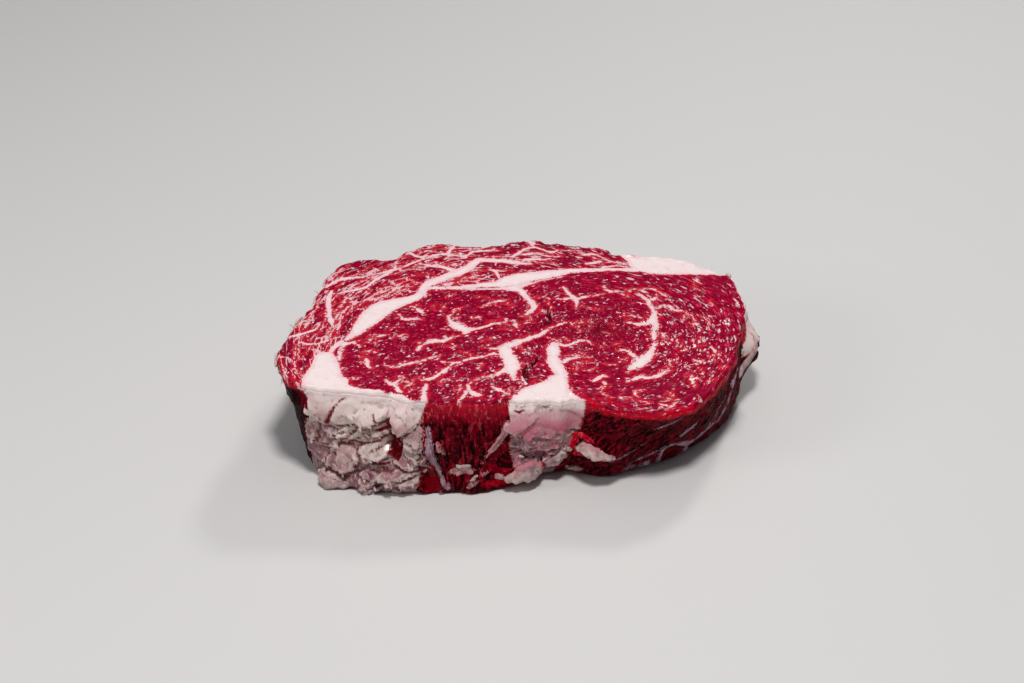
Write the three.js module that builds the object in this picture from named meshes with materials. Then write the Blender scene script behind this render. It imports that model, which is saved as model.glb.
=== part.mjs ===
// A thick-cut boneless ribeye steak, raw, lying on one cut face. Millimetres, +Z up, the long side along X.
// The whole steak is one closed surface: a cut top face, a torn side wall, a rolled lower edge and a flat rest.
// Every shape below is a function of the direction round the steak (in degrees, 0 = +X, anticlockwise seen from
// above) and of the height.
import * as THREE from "three";

// ---- driving dimensions --------------------------------------------------------------------------------------

const thickLeft = 43; // height of the cut face at the thick left end
const thickRight = 34; // and at the thin right end
const halfLength = 90; // distance from the middle to either end
const faceCrown = 0.8; // how far the middle of the cut face stands above its rim
const rimRound = 2.2; // radius of the cut face's edge
const restInset = 4.5; // from the lower edge in to the flat rest
const offCentre = [1.75, 0.65]; // the middle of the finished box, from the point that the stations turn about

// The cut face's outline: points round the steak, starting at the right-hand end.
const faceOutline = [
  [85, 0], [88.5, 14], [87, 28], [82, 39], [72, 47.5], [57, 52], [44, 52], [32, 56.8], [18, 58.8],
  [3, 60.5], [-10, 55.3], [-21, 53], [-30, 55.2], [-41, 51], [-51.5, 41], [-67, 38.5], [-74.5, 29],
  [-79.5, 6.5], [-85.5, -11], [-90, -31], [-88, -43], [-80, -50], [-58, -52], [-39, -56], [-15, -55.5],
  [8, -52.5], [22, -52.5], [36, -56], [47, -57], [58, -53], [72, -40.5], [80.5, -22],
];

// How far the foot of the wall stands inside the cut face's outline: [direction, mm]. It stands outside where the
// figure is negative.
const footInset = [
  [0, 0], [10, 1.5], [25, 4], [60, 5], [90, 5.5], [125, 5], [160, 4.5], [180, 6], [195, 8.5], [206, 9.5],
  [212, 6], [217, -1], [224, -5.5], [236, -5], [246, -4], [256, -5], [262, -2.8], [270, 0.3], [280, 4],
  [290, 5.2], [300, 5], [306, 8.5], [312, 12.5], [320, 13], [328, 11], [336, 9], [345, 4], [353, 1],
];

// How high the foot of the wall curls off the surface that the steak lies on: [direction, mm].
const footLift = [
  [0, 2.4], [40, 2.4], [90, 2.2], [150, 2.2], [200, 2.4], [220, 1.4], [262, 1.4], [276, 3.2], [300, 3.8],
  [325, 3.8], [345, 3],
];

// How far the middle of the wall's height swells outwards: [direction, mm].
const wallBelly = [
  [0, 1.2], [40, 2.2], [90, 2], [150, 1.6], [182, 0.2], [200, -1.4], [211, -0.6], [225, 1.4], [245, 0.8], [262, 0.6],
  [282, 1.6], [310, 1.2], [335, 1.4],
];

// How rough the wall is: [direction, mm]. Torn fat is craggy, skinned muscle is nearly smooth.
const wallCrag = [
  [0, 0.9], [15, 1.2], [40, 1.5], [70, 1.4], [90, 0.9], [130, 0.9], [160, 1.1], [190, 0.7], [207, 0.6], [214, 1.2],
  [236, 1.2], [243, 0.5], [262, 0.5], [272, 0.8], [288, 0.8], [296, 0.5], [330, 0.6],
];
const cragSize = 9; // width of one torn plate
const rimRag = 0.35; // how far the cut edge wanders in and out

// Fat tags, plates and hollows of the wall: direction, height, half-width along the wall, half-height, reach, and
// how much further the lower edge of a lifted plate reaches.
const wallLumps = [
  { name: "right fat tag", at: 4, z: 21, wide: 6.5, tall: 8.5, out: 5.6, tip: 0 },
  { name: "corner nub", at: 26, z: 32, wide: 3.2, tall: 4.2, out: 2.2, tip: 0 },
  { name: "back fat plate", at: 52, z: 22, wide: 14, tall: 8, out: 1.4, tip: 1 },
  { name: "back hollow", at: 76, z: 18, wide: 9, tall: 8, out: -1.8, tip: 0 },
  { name: "back seam", at: 112, z: 20, wide: 3.5, tall: 16, out: -2, tip: 0 },
  { name: "back shoulder plate", at: 130, z: 26, wide: 9, tall: 6, out: 1.2, tip: 1 },
  { name: "left corner tuft", at: 201, z: 39, wide: 5, tall: 4.5, out: 1.2, tip: 0 },
  { name: "upper fat shelf", at: 219, z: 36.5, wide: 16, tall: 6.5, out: 1.7, tip: 0.7 },
  { name: "tongue flake", at: 225.5, z: 33.5, wide: 6, tall: 4, out: 0.6, tip: 1.1 },
  { name: "fat pillow", at: 234.5, z: 32.5, wide: 5.5, tall: 6.5, out: 2, tip: 0.3 },
  { name: "red hollow in the fat", at: 230.3, z: 25, wide: 3.8, tall: 6.5, out: -3, tip: 0 },
  { name: "lobe by the hollow", at: 237.6, z: 19, wide: 5, tall: 7.5, out: 1.3, tip: 0 },
  { name: "left mound", at: 217.5, z: 16, wide: 8, tall: 7, out: 1, tip: 0.6 },
  { name: "middle plate", at: 226.5, z: 15, wide: 6.5, tall: 5, out: 1.6, tip: 1.2 },
  { name: "lower plate, left", at: 225, z: 5.5, wide: 5.5, tall: 4.5, out: 1.2, tip: 0.9 },
  { name: "lower plate, right", at: 232.5, z: 6, wide: 7.5, tall: 4.8, out: 1.6, tip: 1 },
  { name: "lower left lobe", at: 219.6, z: 3, wide: 5, tall: 5, out: 3.4, tip: 0 },
  { name: "hollow by the lower plates", at: 240.5, z: 8, wide: 4, tall: 5.5, out: -2.4, tip: 0 },
  { name: "muscle above the foot", at: 253, z: 12, wide: 13, tall: 5, out: -1.4, tip: 0 },
  { name: "fat column", at: 280.5, z: 27, wide: 11, tall: 13, out: 1.7, tip: 0 },
  { name: "curled foot flap", at: 271, z: 8.5, wide: 9, tall: 3.8, out: 3.2, tip: 0.8 },
  { name: "cleft beside the column", at: 291, z: 27, wide: 3.4, tall: 9, out: -2, tip: 0 },
  { name: "fat wedge", at: 298, z: 15, wide: 6.2, tall: 4.2, out: 4.2, tip: 1 },
  { name: "red lip under the rim", at: 318, z: 33, wide: 16, tall: 3.2, out: 1.5, tip: 0 },
  { name: "hollow under the lip", at: 316, z: 22, wide: 17, tall: 7, out: -2, tip: 0 },
];

// Low swells of the cut face: where each muscle stands proud or a seam sinks. Centre, half-sizes, turn, height.
const faceSwells = [
  { name: "eye, left half", x: -32, y: -18, long: 30, short: 19, turn: 25, up: 1.1 },
  { name: "eye, right half", x: 46, y: -4, long: 30, short: 28, turn: 60, up: 1.3 },
  { name: "cap", x: -56, y: 22, long: 34, short: 10, turn: 48, up: 0.9 },
  { name: "cap, middle", x: -4, y: 48, long: 36, short: 8, turn: 2, up: 0.8 },
  { name: "arch seam", x: -12, y: 26, long: 34, short: 6, turn: 18, up: -0.8 },
  { name: "cleft at the curl", x: 10.5, y: 4, long: 11, short: 5, turn: 80, up: -1.1 },
  { name: "slot beside the column", x: 5, y: -32, long: 11, short: 5, turn: 62, up: -1.3 },
  { name: "front right shoulder", x: 58, y: -50, long: 24, short: 8, turn: 18, up: -2.2 },
];

// The surface's grid: a square of cells folded into the round face, and rows down the wall.
const faceCells = 44; // along each side of the square; four times that go round the wall
const wallRows = 18;
const rollRows = 2; // from the foot of the wall in to the flat rest
const around = faceCells * 4;

// ---- helpers -------------------------------------------------------------------------------------------------

const turn = 2 * Math.PI;
const radians = (deg) => (deg * Math.PI) / 180;
const mix = (a, b, t) => a + (b - a) * t;
const fraction = (v) => v - Math.floor(v);

// A smooth closed curve through [angle in radians, value] stations: cubic Hermite pieces whose slope at a station
// is that between its two neighbours.
function closedCurve(stations) {
  const s = stations.map(([a, v]) => [((a % turn) + turn) % turn, v]).sort((p, q) => p[0] - q[0]);
  const n = s.length;
  const station = (i) => {
    const laps = Math.floor(i / n);
    const [a, v] = s[i - laps * n];
    return [a + laps * turn, v];
  };
  const slope = (i) => {
    const [a0, v0] = station(i - 1);
    const [a1, v1] = station(i + 1);
    return (v1 - v0) / (a1 - a0);
  };
  return (angle) => {
    const a = ((angle % turn) + turn) % turn;
    let i = s.findIndex(([b]) => b > a) - 1;
    if (i === -2) i = n - 1;
    const [a0, v0] = station(i);
    const [a1, v1] = station(i + 1);
    const span = a1 - a0;
    const t = (a - a0) / span;
    const t2 = t * t;
    const t3 = t2 * t;
    return (
      (2 * t3 - 3 * t2 + 1) * v0 +
      (t3 - 2 * t2 + t) * span * slope(i) +
      (3 * t2 - 2 * t3) * v1 +
      (t3 - t2) * span * slope(i + 1)
    );
  };
}

const byDegrees = (stations) => closedCurve(stations.map(([deg, v]) => [radians(deg), v]));

// A repeatable number from 0 to 1 for a lattice cell.
const hash = (i, j, k) => fraction(Math.sin(i * 12.9898 + j * 78.233 + k * 37.719) * 43758.5453);

// Torn plates: space is split into cells about jittered lattice points. Each cell has its own height and leans out
// towards its lower edge, and the joints between cells are sunk. The result is about -1 to 1.
function plates(x, y, z) {
  const [cx, cy, cz] = [Math.floor(x), Math.floor(y), Math.floor(z)];
  let nearest = 9;
  let second = 9;
  let value = 0;
  for (let i = cx - 1; i <= cx + 1; i++) {
    for (let j = cy - 1; j <= cy + 1; j++) {
      for (let k = cz - 1; k <= cz + 1; k++) {
        const dx = x - i - hash(i, j, k);
        const dy = y - j - hash(j + 7, k, i);
        const dz = z - k - hash(k, i + 13, j);
        const d = Math.hypot(dx, dy, dz);
        if (d < nearest) {
          second = nearest;
          nearest = d;
          value = (hash(i, j, k + 5) * 2 - 1) * 0.6 - dz * 0.9;
        } else if (d < second) second = d;
      }
    }
  }
  return value - 0.5 * Math.exp(-((second - nearest) ** 2) / 0.02);
}

// ---- the steak's own functions -------------------------------------------------------------------------------

const outlineCurve = closedCurve(faceOutline.map(([x, y]) => [Math.atan2(y, x), Math.hypot(x, y)]));
const ragged = (a) => Math.sin(17 * a + 1) + Math.sin(29 * a + 2.6) + Math.sin(41 * a + 4.1);
const rimRadius = (angle) => outlineCurve(angle) + rimRag * ragged(angle);
const insetAt = byDegrees(footInset);
const liftAt = byDegrees(footLift);
const bellyAt = byDegrees(wallBelly);
const cragAt = byDegrees(wallCrag);

// The plane of the cut face before its swells: it falls from the thick end to the thin end.
const facePlane = (x) => mix(thickLeft, thickRight, (x / halfLength + 1) / 2);

// Height of the cut face: plane, crown, swells, and a rounded rim. share is 0 in the middle and 1 at the rim.
function faceHeight(x, y, share, radius) {
  let z = facePlane(x) + faceCrown * (1 - share ** 4);
  for (const s of faceSwells) {
    const c = Math.cos(radians(s.turn));
    const q = Math.sin(radians(s.turn));
    const u = ((x - s.x) * c + (y - s.y) * q) / s.long;
    const v = ((y - s.y) * c - (x - s.x) * q) / s.short;
    z += s.up * Math.exp(-(u * u + v * v));
  }
  const fromEdge = Math.min((1 - share) * radius, rimRound);
  return z - (rimRound - Math.sqrt(rimRound ** 2 - (rimRound - fromEdge) ** 2));
}

// How far the wall stands out of its plain surface at a direction and height: lumps, hollows and torn plates.
function wallRelief(angle, radius, z) {
  let out = 0;
  for (const l of wallLumps) {
    let off = angle - radians(l.at);
    off -= Math.round(off / turn) * turn;
    const u = (off * radius) / l.wide;
    const v = (z - l.z) / l.tall;
    out += (l.out - l.tip * v) * Math.exp(-((u * u + v * v) ** 1.5));
  }
  const [x, y] = [radius * Math.cos(angle), radius * Math.sin(angle)];
  return out + cragAt(angle) * plates(x / cragSize, y / cragSize, (z / cragSize) * 1.15);
}

// A point of the wall. t runs from 0 at the cut face to 1 at the foot.
function wallPoint(angle, t) {
  const top = mix(rimRadius(angle), outlineCurve(angle), Math.min(1, t * 4));
  const edge = rimRadius(angle);
  const rim = faceHeight(edge * Math.cos(angle), edge * Math.sin(angle), 1, edge);
  const z = mix(rim, liftAt(angle), t);
  const plain = top - insetAt(angle) * t ** 1.2 + bellyAt(angle) * Math.sin(Math.PI * t);
  const fade = Math.min(1, t * 6); // the relief dies out at the cut edge
  const r = plain + fade * wallRelief(angle, plain, z);
  return [r * Math.cos(angle), r * Math.sin(angle), z];
}

// ---- the surface ---------------------------------------------------------------------------------------------

// The square grid of cells folded into a disc: concentric squares become rings, so each vertex has a ring (0 in
// the middle, 1 at the rim) and a direction.
function discOf(i, j) {
  const a = (2 * i) / faceCells - 1;
  const b = (2 * j) / faceCells - 1;
  const ring = Math.max(Math.abs(a), Math.abs(b));
  if (ring < 1e-9) return { ring: 0, angle: 0 };
  const eighth = Math.PI / 4;
  let angle;
  if (Math.abs(a) >= Math.abs(b)) angle = a > 0 ? (eighth * b) / a : Math.PI + (eighth * b) / a;
  else angle = b > 0 ? Math.PI / 2 - (eighth * a) / b : -Math.PI / 2 - (eighth * a) / b;
  return { ring, angle };
}

// The square's border in order round the steak, starting at its lower right corner and going anticlockwise.
function border() {
  const n = faceCells;
  const cells = [];
  for (let k = 0; k < n; k++) cells.push([n, k]);
  for (let k = 0; k < n; k++) cells.push([n - k, n]);
  for (let k = 0; k < n; k++) cells.push([0, n - k]);
  for (let k = 0; k < n; k++) cells.push([k, 0]);
  return cells;
}

function steakGeometry() {
  const points = [];
  const faces = [];
  const add = (p) => points.push(p) - 1;
  const quad = (a, b, c, d) => faces.push([a, b, c], [a, c, d]);

  // the cut face
  const faceIndex = [];
  for (let i = 0; i <= faceCells; i++) {
    faceIndex.push([]);
    for (let j = 0; j <= faceCells; j++) {
      const { ring, angle } = discOf(i, j);
      const share = 1 - (1 - ring) ** 1.15; // rings stand a little closer together near the rim
      const radius = rimRadius(angle);
      const [x, y] = [share * radius * Math.cos(angle), share * radius * Math.sin(angle)];
      faceIndex[i].push(add([x, y, faceHeight(x, y, share, radius)]));
    }
  }
  for (let i = 0; i < faceCells; i++) {
    for (let j = 0; j < faceCells; j++) {
      quad(faceIndex[i][j], faceIndex[i + 1][j], faceIndex[i + 1][j + 1], faceIndex[i][j + 1]);
    }
  }

  // the wall, the rolled lower edge and the flat rest
  const cells = border();
  const angles = cells.map(([i, j]) => discOf(i, j).angle);
  let above = cells.map(([i, j]) => faceIndex[i][j]);
  const addRow = (pointAt) => {
    const row = angles.map((angle) => add(pointAt(angle)));
    for (let k = 0; k < around; k++) {
      const next = (k + 1) % around;
      quad(above[k], row[k], row[next], above[next]);
    }
    above = row;
  };
  for (let row = 1; row <= wallRows; row++) addRow((angle) => wallPoint(angle, row / wallRows));
  for (let row = 1; row <= rollRows; row++) {
    const t = (row / rollRows) * (Math.PI / 2);
    addRow((angle) => {
      const [x, y, z] = wallPoint(angle, 1);
      const r = Math.hypot(x, y) - restInset * (1 - Math.cos(t));
      return [r * Math.cos(angle), r * Math.sin(angle), row === rollRows ? 0 : z * (1 - Math.sin(t))];
    });
  }
  const middle = add([0, 0, 0]);
  for (let k = 0; k < around; k++) faces.push([above[k], middle, above[(k + 1) % around]]);

  const geometry = new THREE.BufferGeometry();
  geometry.setAttribute("position", new THREE.Float32BufferAttribute(points.flat(), 3));
  geometry.setIndex(faces.flat());
  geometry.translate(-offCentre[0], -offCentre[1], 0);
  geometry.computeVertexNormals();
  return geometry;
}

const rawBeef = new THREE.MeshStandardMaterial({ color: 0x9c1a2e, roughness: 0.35, metalness: 0 });
const steak = new THREE.Mesh(steakGeometry(), rawBeef);
steak.name = "steak";

const ribeye = new THREE.Group();
ribeye.add(steak);

export default ribeye;
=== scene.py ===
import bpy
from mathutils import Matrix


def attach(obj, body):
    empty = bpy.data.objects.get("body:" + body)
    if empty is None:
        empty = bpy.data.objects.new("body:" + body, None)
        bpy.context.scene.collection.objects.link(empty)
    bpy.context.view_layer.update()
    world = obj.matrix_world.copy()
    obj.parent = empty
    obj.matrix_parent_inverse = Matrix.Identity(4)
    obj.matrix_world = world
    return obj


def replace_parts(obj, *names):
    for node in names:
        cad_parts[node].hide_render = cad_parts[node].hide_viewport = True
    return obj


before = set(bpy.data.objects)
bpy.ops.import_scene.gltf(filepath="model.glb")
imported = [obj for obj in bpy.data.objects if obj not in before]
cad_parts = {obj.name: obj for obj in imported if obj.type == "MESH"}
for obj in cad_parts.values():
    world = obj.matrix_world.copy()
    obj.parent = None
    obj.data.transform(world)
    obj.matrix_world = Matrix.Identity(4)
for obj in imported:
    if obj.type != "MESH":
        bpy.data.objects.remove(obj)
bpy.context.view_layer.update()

import math
from itertools import product

import bpy
import numpy as np

cameraSettings = {
    "aim": (-0.00475, -0.00215, 0.0300),  # the point at the middle of the picture, metres
    "distance": 0.93,
    "above": 33.0,  # degrees over the table
    "lens": 85.0,
}

above, away, aim = math.radians(cameraSettings["above"]), cameraSettings["distance"], cameraSettings["aim"]
cameraData = bpy.data.cameras.new("viewCamera")
cameraData.lens = cameraSettings["lens"]
cameraData.sensor_width = 36.0
cameraData.clip_start = 0.01
viewCamera = bpy.data.objects.new("viewCamera", cameraData)
bpy.context.scene.collection.objects.link(viewCamera)
viewCamera.location = (aim[0], aim[1] - away * math.cos(above), aim[2] + away * math.sin(above))
viewCamera.rotation_euler = (math.pi / 2 - above, 0.0, 0.0)
bpy.context.scene.camera = viewCamera
print("camera placed")

# Lengths below are millimetres and directions are degrees round the steak, 0 along +X and anticlockwise seen
# from above. Depth is measured down the wall from the cut edge, and is negative on the cut face.

steakShape = {
    "thickLeft": 43.0,  # height of the cut face at the left end
    "thickRight": 34.0,
    "halfLength": 90.0,
    "crown": 0.8,  # how far the middle of the cut face stands above its rim
    "rimRound": 1.5,  # radius of the cut face's edge
    "restInset": 4.5,  # from the lower edge in to the flat rest
    "offCentre": (1.75, 0.65),  # the middle of the box, from the point that the directions turn about
    "cragSize": 9.0,  # width of one torn plate
    "rimRag": 0.35,  # how far the cut edge wanders in and out
    "outline": [
        (85, 0), (88.5, 14), (87, 28), (82, 39), (72, 47.5), (57, 52), (44, 52), (32, 56.8), (18, 58.8),
        (3, 60.5), (-10, 55.3), (-21, 53), (-30, 55.2), (-41, 51), (-51.5, 41), (-67, 38.5), (-74.5, 29),
        (-79.5, 6.5), (-85.5, -11), (-90, -31), (-88, -43), (-80, -50), (-58, -52), (-39, -56),
        (-15, -55.5), (8, -52.5), (22, -52.5), (36, -56), (47, -57), (58, -53), (72, -40.5), (80.5, -22),
    ],
    "footInset": [  # how far the foot of the wall stands inside the outline
        (0, 0), (10, 1.5), (25, 4), (60, 5), (90, 5.5), (125, 5), (160, 4.5), (180, 6), (195, 8.5),
        (206, 9.5), (212, 6), (217, -1), (224, -5.5), (236, -5), (246, -4), (256, -5), (262, -2.8),
        (270, 0.3), (280, 4), (290, 5.2), (300, 5), (306, 8.5), (312, 12.5), (320, 13), (328, 11),
        (336, 9), (345, 4), (353, 1),
    ],
    "footLift": [  # how high the foot of the wall curls off the table
        (0, 2.4), (40, 2.4), (90, 2.2), (150, 2.2), (200, 2.4), (220, 1.4), (262, 1.4), (276, 3.2),
        (300, 3.8), (325, 3.8), (345, 3),
    ],
    "wallBelly": [
        (0, 1.2), (40, 2.2), (90, 2), (150, 1.6), (182, 0.2), (200, -1.4), (211, -0.6), (225, 1.4),
        (245, 0.8), (262, 0.6), (282, 1.6), (310, 1.2), (335, 1.4),
    ],
    "wallCrag": [  # torn fat is craggy, skinned muscle is nearly smooth
        (0, 0.9), (15, 1.2), (40, 1.5), (70, 1.4), (90, 0.9), (130, 0.9), (160, 1.1), (190, 0.7),
        (207, 0.6), (214, 1.2), (236, 1.2), (243, 0.5), (262, 0.5), (272, 0.8), (288, 0.8), (296, 0.5),
        (330, 0.6),
    ],
    "wallLumps": [  # direction, height, half-width, half-height, reach, extra reach of the lower edge
        (4, 21, 6.5, 8.5, 5.6, 0),  # fat tag at the right end
        (26, 32, 3.2, 4.2, 2.2, 0),  # corner nub
        (52, 22, 14, 8, 1.4, 1),  # back fat plate
        (76, 18, 9, 8, -1.8, 0),  # back hollow
        (112, 20, 3.5, 16, -2, 0),  # back seam
        (130, 26, 9, 6, 1.2, 1),  # back shoulder plate
        (201, 39, 5, 4.5, 1.2, 0),  # tuft at the left corner
        (219, 36.5, 16, 6.5, 1.7, 0.7),  # upper fat shelf
        (225.5, 33.5, 6, 4, 0.6, 1.1),  # tongue
        (234.5, 32.5, 5.5, 6.5, 2, 0.3),  # fat pillow
        (230.3, 25, 3.8, 6.5, -3, 0),  # red hollow in the fat
        (237.6, 19, 5, 7.5, 1.3, 0),  # lobe by the hollow
        (217.5, 16, 8, 7, 1, 0.6),  # left mound
        (226.5, 15, 6.5, 5, 1.6, 1.2),  # middle plate
        (225, 5.5, 5.5, 4.5, 1.2, 0.9),  # lower plates
        (232.5, 6, 7.5, 4.8, 1.6, 1),
        (219.6, 3, 5, 5, 3.4, 0),  # lower left lobe
        (240.5, 8, 4, 5.5, -2.4, 0),  # hollow by the lower plates
        (253, 12, 13, 5, -1.4, 0),  # muscle above the foot
        (280.5, 27, 11, 13, 1.7, 0),  # fat column
        (271, 8.5, 9, 3.8, 3.2, 0.8),  # curled flap
        (291, 27, 3.4, 9, -2, 0),  # cleft beside the column
        (298, 15, 6.2, 4.2, 4.2, 1),  # fat wedge
        (318, 33, 16, 3.2, 1.5, 0),  # red lip under the rim
        (316, 22, 17, 7, -2, 0),  # hollow under the lip
    ],
    "faceSwells": [  # x, y, half-length, half-width, turn, height
        (-32, -18, 30, 19, 25, 1.1),  # eye, left half
        (46, -4, 30, 28, 60, 1.3),  # eye, right half
        (-56, 22, 34, 10, 48, 0.9),  # cap
        (-4, 48, 36, 8, 2, 0.8),
        (-12, 26, 34, 6, 18, -0.8),  # arch seam
        (10.5, 4, 11, 5, 80, -0.8),  # hollow round the curl's cleft
        (5, -32, 11, 5, 62, -1.0),  # hollow round the slot
        (58, -50, 24, 8, 18, -2.2),  # front right shoulder
    ],
    "faceCuts": [  # depth, then x, y and half-width along the cut
        (2.6, [(10, 11, 0.4), (11, 6, 0.8), (11.4, 2, 1.0), (9.8, -2.5, 0.8), (7, -5.5, 0.3)]),
        (3.2, [(7, -25.5, 0.5), (4.2, -30, 1.0), (1.9, -34.5, 1.3), (2.2, -38.5, 1.0), (3, -42, 0.5)]),
        (0.7, [(-13, 22.6, 0.3), (-9, 23.1, 0.4), (-6, 25, 0.4), (-2, 25.8, 0.4), (3, 28.1, 0.5),
               (8, 30.8, 0.4), (16, 33.6, 0.4), (20, 35.2, 0.4), (27, 37.6, 0.4), (33, 38.6, 0.3)]),
        (0.6, [(21, 37.6, 0.3), (27, 38.6, 0.4), (34, 39.4, 0.3)]),
        (1.3, [(-37.4, -55.2, 0.4), (-37.2, -57.5, 0.5)]),
        (0.7, [(16.5, -21, 0.3), (15.7, -26, 0.4), (17.2, -31, 0.4), (18, -36, 0.3)]),
    ],
}


def closedCurve(stations):
    # a smooth closed curve through (angle, value) stations: cubic Hermite pieces whose slope at a station is
    # that between its two neighbours
    a, v = np.array(sorted((a % (2 * math.pi), v) for a, v in stations)).T
    a = np.concatenate([a[-2:] - 2 * np.pi, a, a[:2] + 2 * np.pi])
    v = np.concatenate([v[-2:], v, v[:2]])
    slope = (v[2:] - v[:-2]) / (a[2:] - a[:-2])

    def curve(angle):
        angle = np.mod(angle, 2 * np.pi)
        i = np.searchsorted(a, angle, side="right") - 1
        span = a[i + 1] - a[i]
        t = (angle - a[i]) / span
        return ((2 * t**3 - 3 * t**2 + 1) * v[i] + (t**3 - 2 * t**2 + t) * span * slope[i - 1]
                + (3 * t**2 - 2 * t**3) * v[i + 1] + (t**3 - t**2) * span * slope[i])

    return curve


def smoothLine(points, parts=4):
    # the same kind of curve along an open line of points, cut into parts between each two
    p = np.array(points, float)
    p = np.vstack([2 * p[0] - p[1], p, 2 * p[-1] - p[-2]])
    t = np.linspace(0, 1, parts, endpoint=False)[:, None]
    rows = [0.5 * (2 * p[i] + (p[i + 1] - p[i - 1]) * t
                   + (2 * p[i - 1] - 5 * p[i] + 4 * p[i + 1] - p[i + 2]) * t**2
                   + (3 * p[i] - p[i - 1] - 3 * p[i + 1] + p[i + 2]) * t**3) for i in range(1, len(p) - 2)]
    return np.vstack(rows + [p[-2][None]])


def smoothStep(low, high, x):
    # 0 at low and 1 at high, with 3 t^2 - 2 t^3 between them, t being the share of the way
    t = np.clip((x - low) / (high - low), 0, 1)
    return t * t * (3 - 2 * t)


def band(x, rise, risen, drop, dropped):
    # 1 between risen and drop, 0 below rise and above dropped
    return smoothStep(rise, risen, x) * smoothStep(dropped, drop, x)


def onCircle(radius, angle):
    # x and y of a point at a distance and a direction
    return radius * np.cos(angle), radius * np.sin(angle)


def rotated(u, v, degrees):
    # coordinates along and across a direction
    c, s = math.cos(math.radians(degrees)), math.sin(math.radians(degrees))
    return u * c + v * s, v * c - u * s


def turnFrom(angle, degrees):
    # the shorter way round from a direction to an angle, in radians
    off = angle - math.radians(degrees)
    return off - np.round(off / (2 * np.pi)) * 2 * np.pi


def latticeHash(i, j, k):
    # a random number from 0 to 1 for each lattice point: the fraction of a large sine
    v = np.sin(i * 12.9898 + j * 78.233 + k * 37.719) * 43758.5453
    return v - np.floor(v)


def cellField(x, y, z):
    # space is split into cells about jittered lattice points. Gives each cell's height, which leans out
    # towards its lower edge, how much nearer the nearest point is than the second, the cell's own number and
    # a height that also leans sideways by a random slope
    cx, cy, cz = np.floor(x), np.floor(y), np.floor(z)
    nearest, second = np.full(x.shape, 9.0), np.full(x.shape, 9.0)
    height, number, sideways = (np.zeros(x.shape) for _ in range(3))
    for di, dj, dk in product((-1, 0, 1), repeat=3):
        i, j, k = cx + di, cy + dj, cz + dk
        dx = x - i - latticeHash(i, j, k)
        dy = y - j - latticeHash(j + 7, k, i)
        dz = z - k - latticeHash(k, i + 13, j)
        d = np.sqrt(dx * dx + dy * dy + dz * dz)
        closer = d < nearest
        second = np.where(closer, nearest, np.minimum(second, d))
        nearest = np.where(closer, d, nearest)
        own = latticeHash(i, j, k + 5)
        slopeX, slopeY = latticeHash(j, k, i + 21) * 3 - 1.5, latticeHash(k, j + 9, i) * 3 - 1.5
        number = np.where(closer, own, number)
        height = np.where(closer, (own * 2 - 1) * 0.6 - dz * 0.9, height)
        sideways = np.where(closer, (own - 0.5) * 0.9 + slopeX * dx + slopeY * dy - 0.5 * dz, sideways)
    return height, second - nearest, number, sideways


def plateField(x, y, z, joint):
    # cells with sunk joints
    height, gap = cellField(x, y, z)[:2]
    return height - joint * np.exp(-(gap**2) / 0.02)


def softNoise(x, y, z):
    # random numbers on a lattice, blended smoothly between the eight nearest: -1 to 1
    corner = [np.floor(v) for v in (x, y, z)]
    ease = [(v - c) ** 2 * (3 - 2 * (v - c)) for v, c in zip((x, y, z), corner)]
    total = 0.0
    for step in product((0, 1), repeat=3):
        share = np.prod(np.broadcast_arrays(*(e if s else 1 - e for e, s in zip(ease, step))), 0)
        total = total + share * latticeHash(*(c + s for c, s in zip(corner, step)))
    return total * 2 - 1


def flatNoise(x, y, size, layer=0.0):
    # soft noise on a plane, with bumps of a size in millimetres; each layer is another pattern
    return softNoise(x / size, y / size, layer)


def roundNoise(x, y, z, size, shift=0.0):
    # the same in space
    return softNoise(x / size + shift, y / size, z / size)


def blurred(field, reach, wrap):
    # mean over a square of cells; the columns go round the steak where wrap is set
    for axis, around in ((0, False), (1, wrap)):
        pad = [(reach, reach) if a == axis else (0, 0) for a in (0, 1)]
        total = np.cumsum(np.pad(field, pad, mode="wrap" if around else "edge"), axis)
        total = np.concatenate([np.zeros_like(total.take([0], axis)), total], axis)
        size, count = 2 * reach + 1, field.shape[axis]
        field = (total.take(range(size, size + count), axis) - total.take(range(count), axis)) / size
    return field


# the steak's surface as functions of direction and depth
outlineCurve = closedCurve([(math.atan2(y, x), math.hypot(x, y)) for x, y in steakShape["outline"]])
insetAt, liftAt, bellyAt, cragAt = (closedCurve([(math.radians(d), v) for d, v in steakShape[key]])
                                    for key in ("footInset", "footLift", "wallBelly", "wallCrag"))


def facePlane(x, y):
    # the cut face before its rim: a plane that falls to the right, plus gaussian swells
    s = steakShape
    z = s["thickLeft"] + (s["thickRight"] - s["thickLeft"]) * (x / s["halfLength"] + 1) / 2
    for cx, cy, long, short, turn, up in s["faceSwells"]:
        u, v = rotated(x - cx, y - cy, turn)
        z = z + up * np.exp(-((u / long) ** 2) - (v / short) ** 2)
    return z


def lumpReach(angle, radius, z):
    # how far the lumps stand out: gaussians with flat tops in direction and height
    out = np.zeros_like(radius)
    for at, height, wide, tall, reach, tip in steakShape["wallLumps"]:
        u, v = turnFrom(angle, at) * radius / wide, (z - height) / tall
        out += (reach - tip * v) * np.exp(-((u * u + v * v) ** 1.5))
    return out


def rimRadius(angle):
    # the outline, ragged, and carried out by the lumps that reach up to it
    ragged = np.sin(17 * angle + 1) + np.sin(29 * angle + 2.6) + np.sin(41 * angle + 4.1)
    x, y = onCircle(80, angle)
    plain = outlineCurve(angle)
    lumps = lumpReach(angle, plain, facePlane(*onCircle(plain, angle)) - steakShape["rimRound"])
    return (plain + steakShape["rimRag"] * ragged + 0.5 * flatNoise(x, y, 2.4) + 0.3 * flatNoise(x, y, 1.1)
            + 0.8 * np.clip(lumps, -0.6, 1.4))


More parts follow.
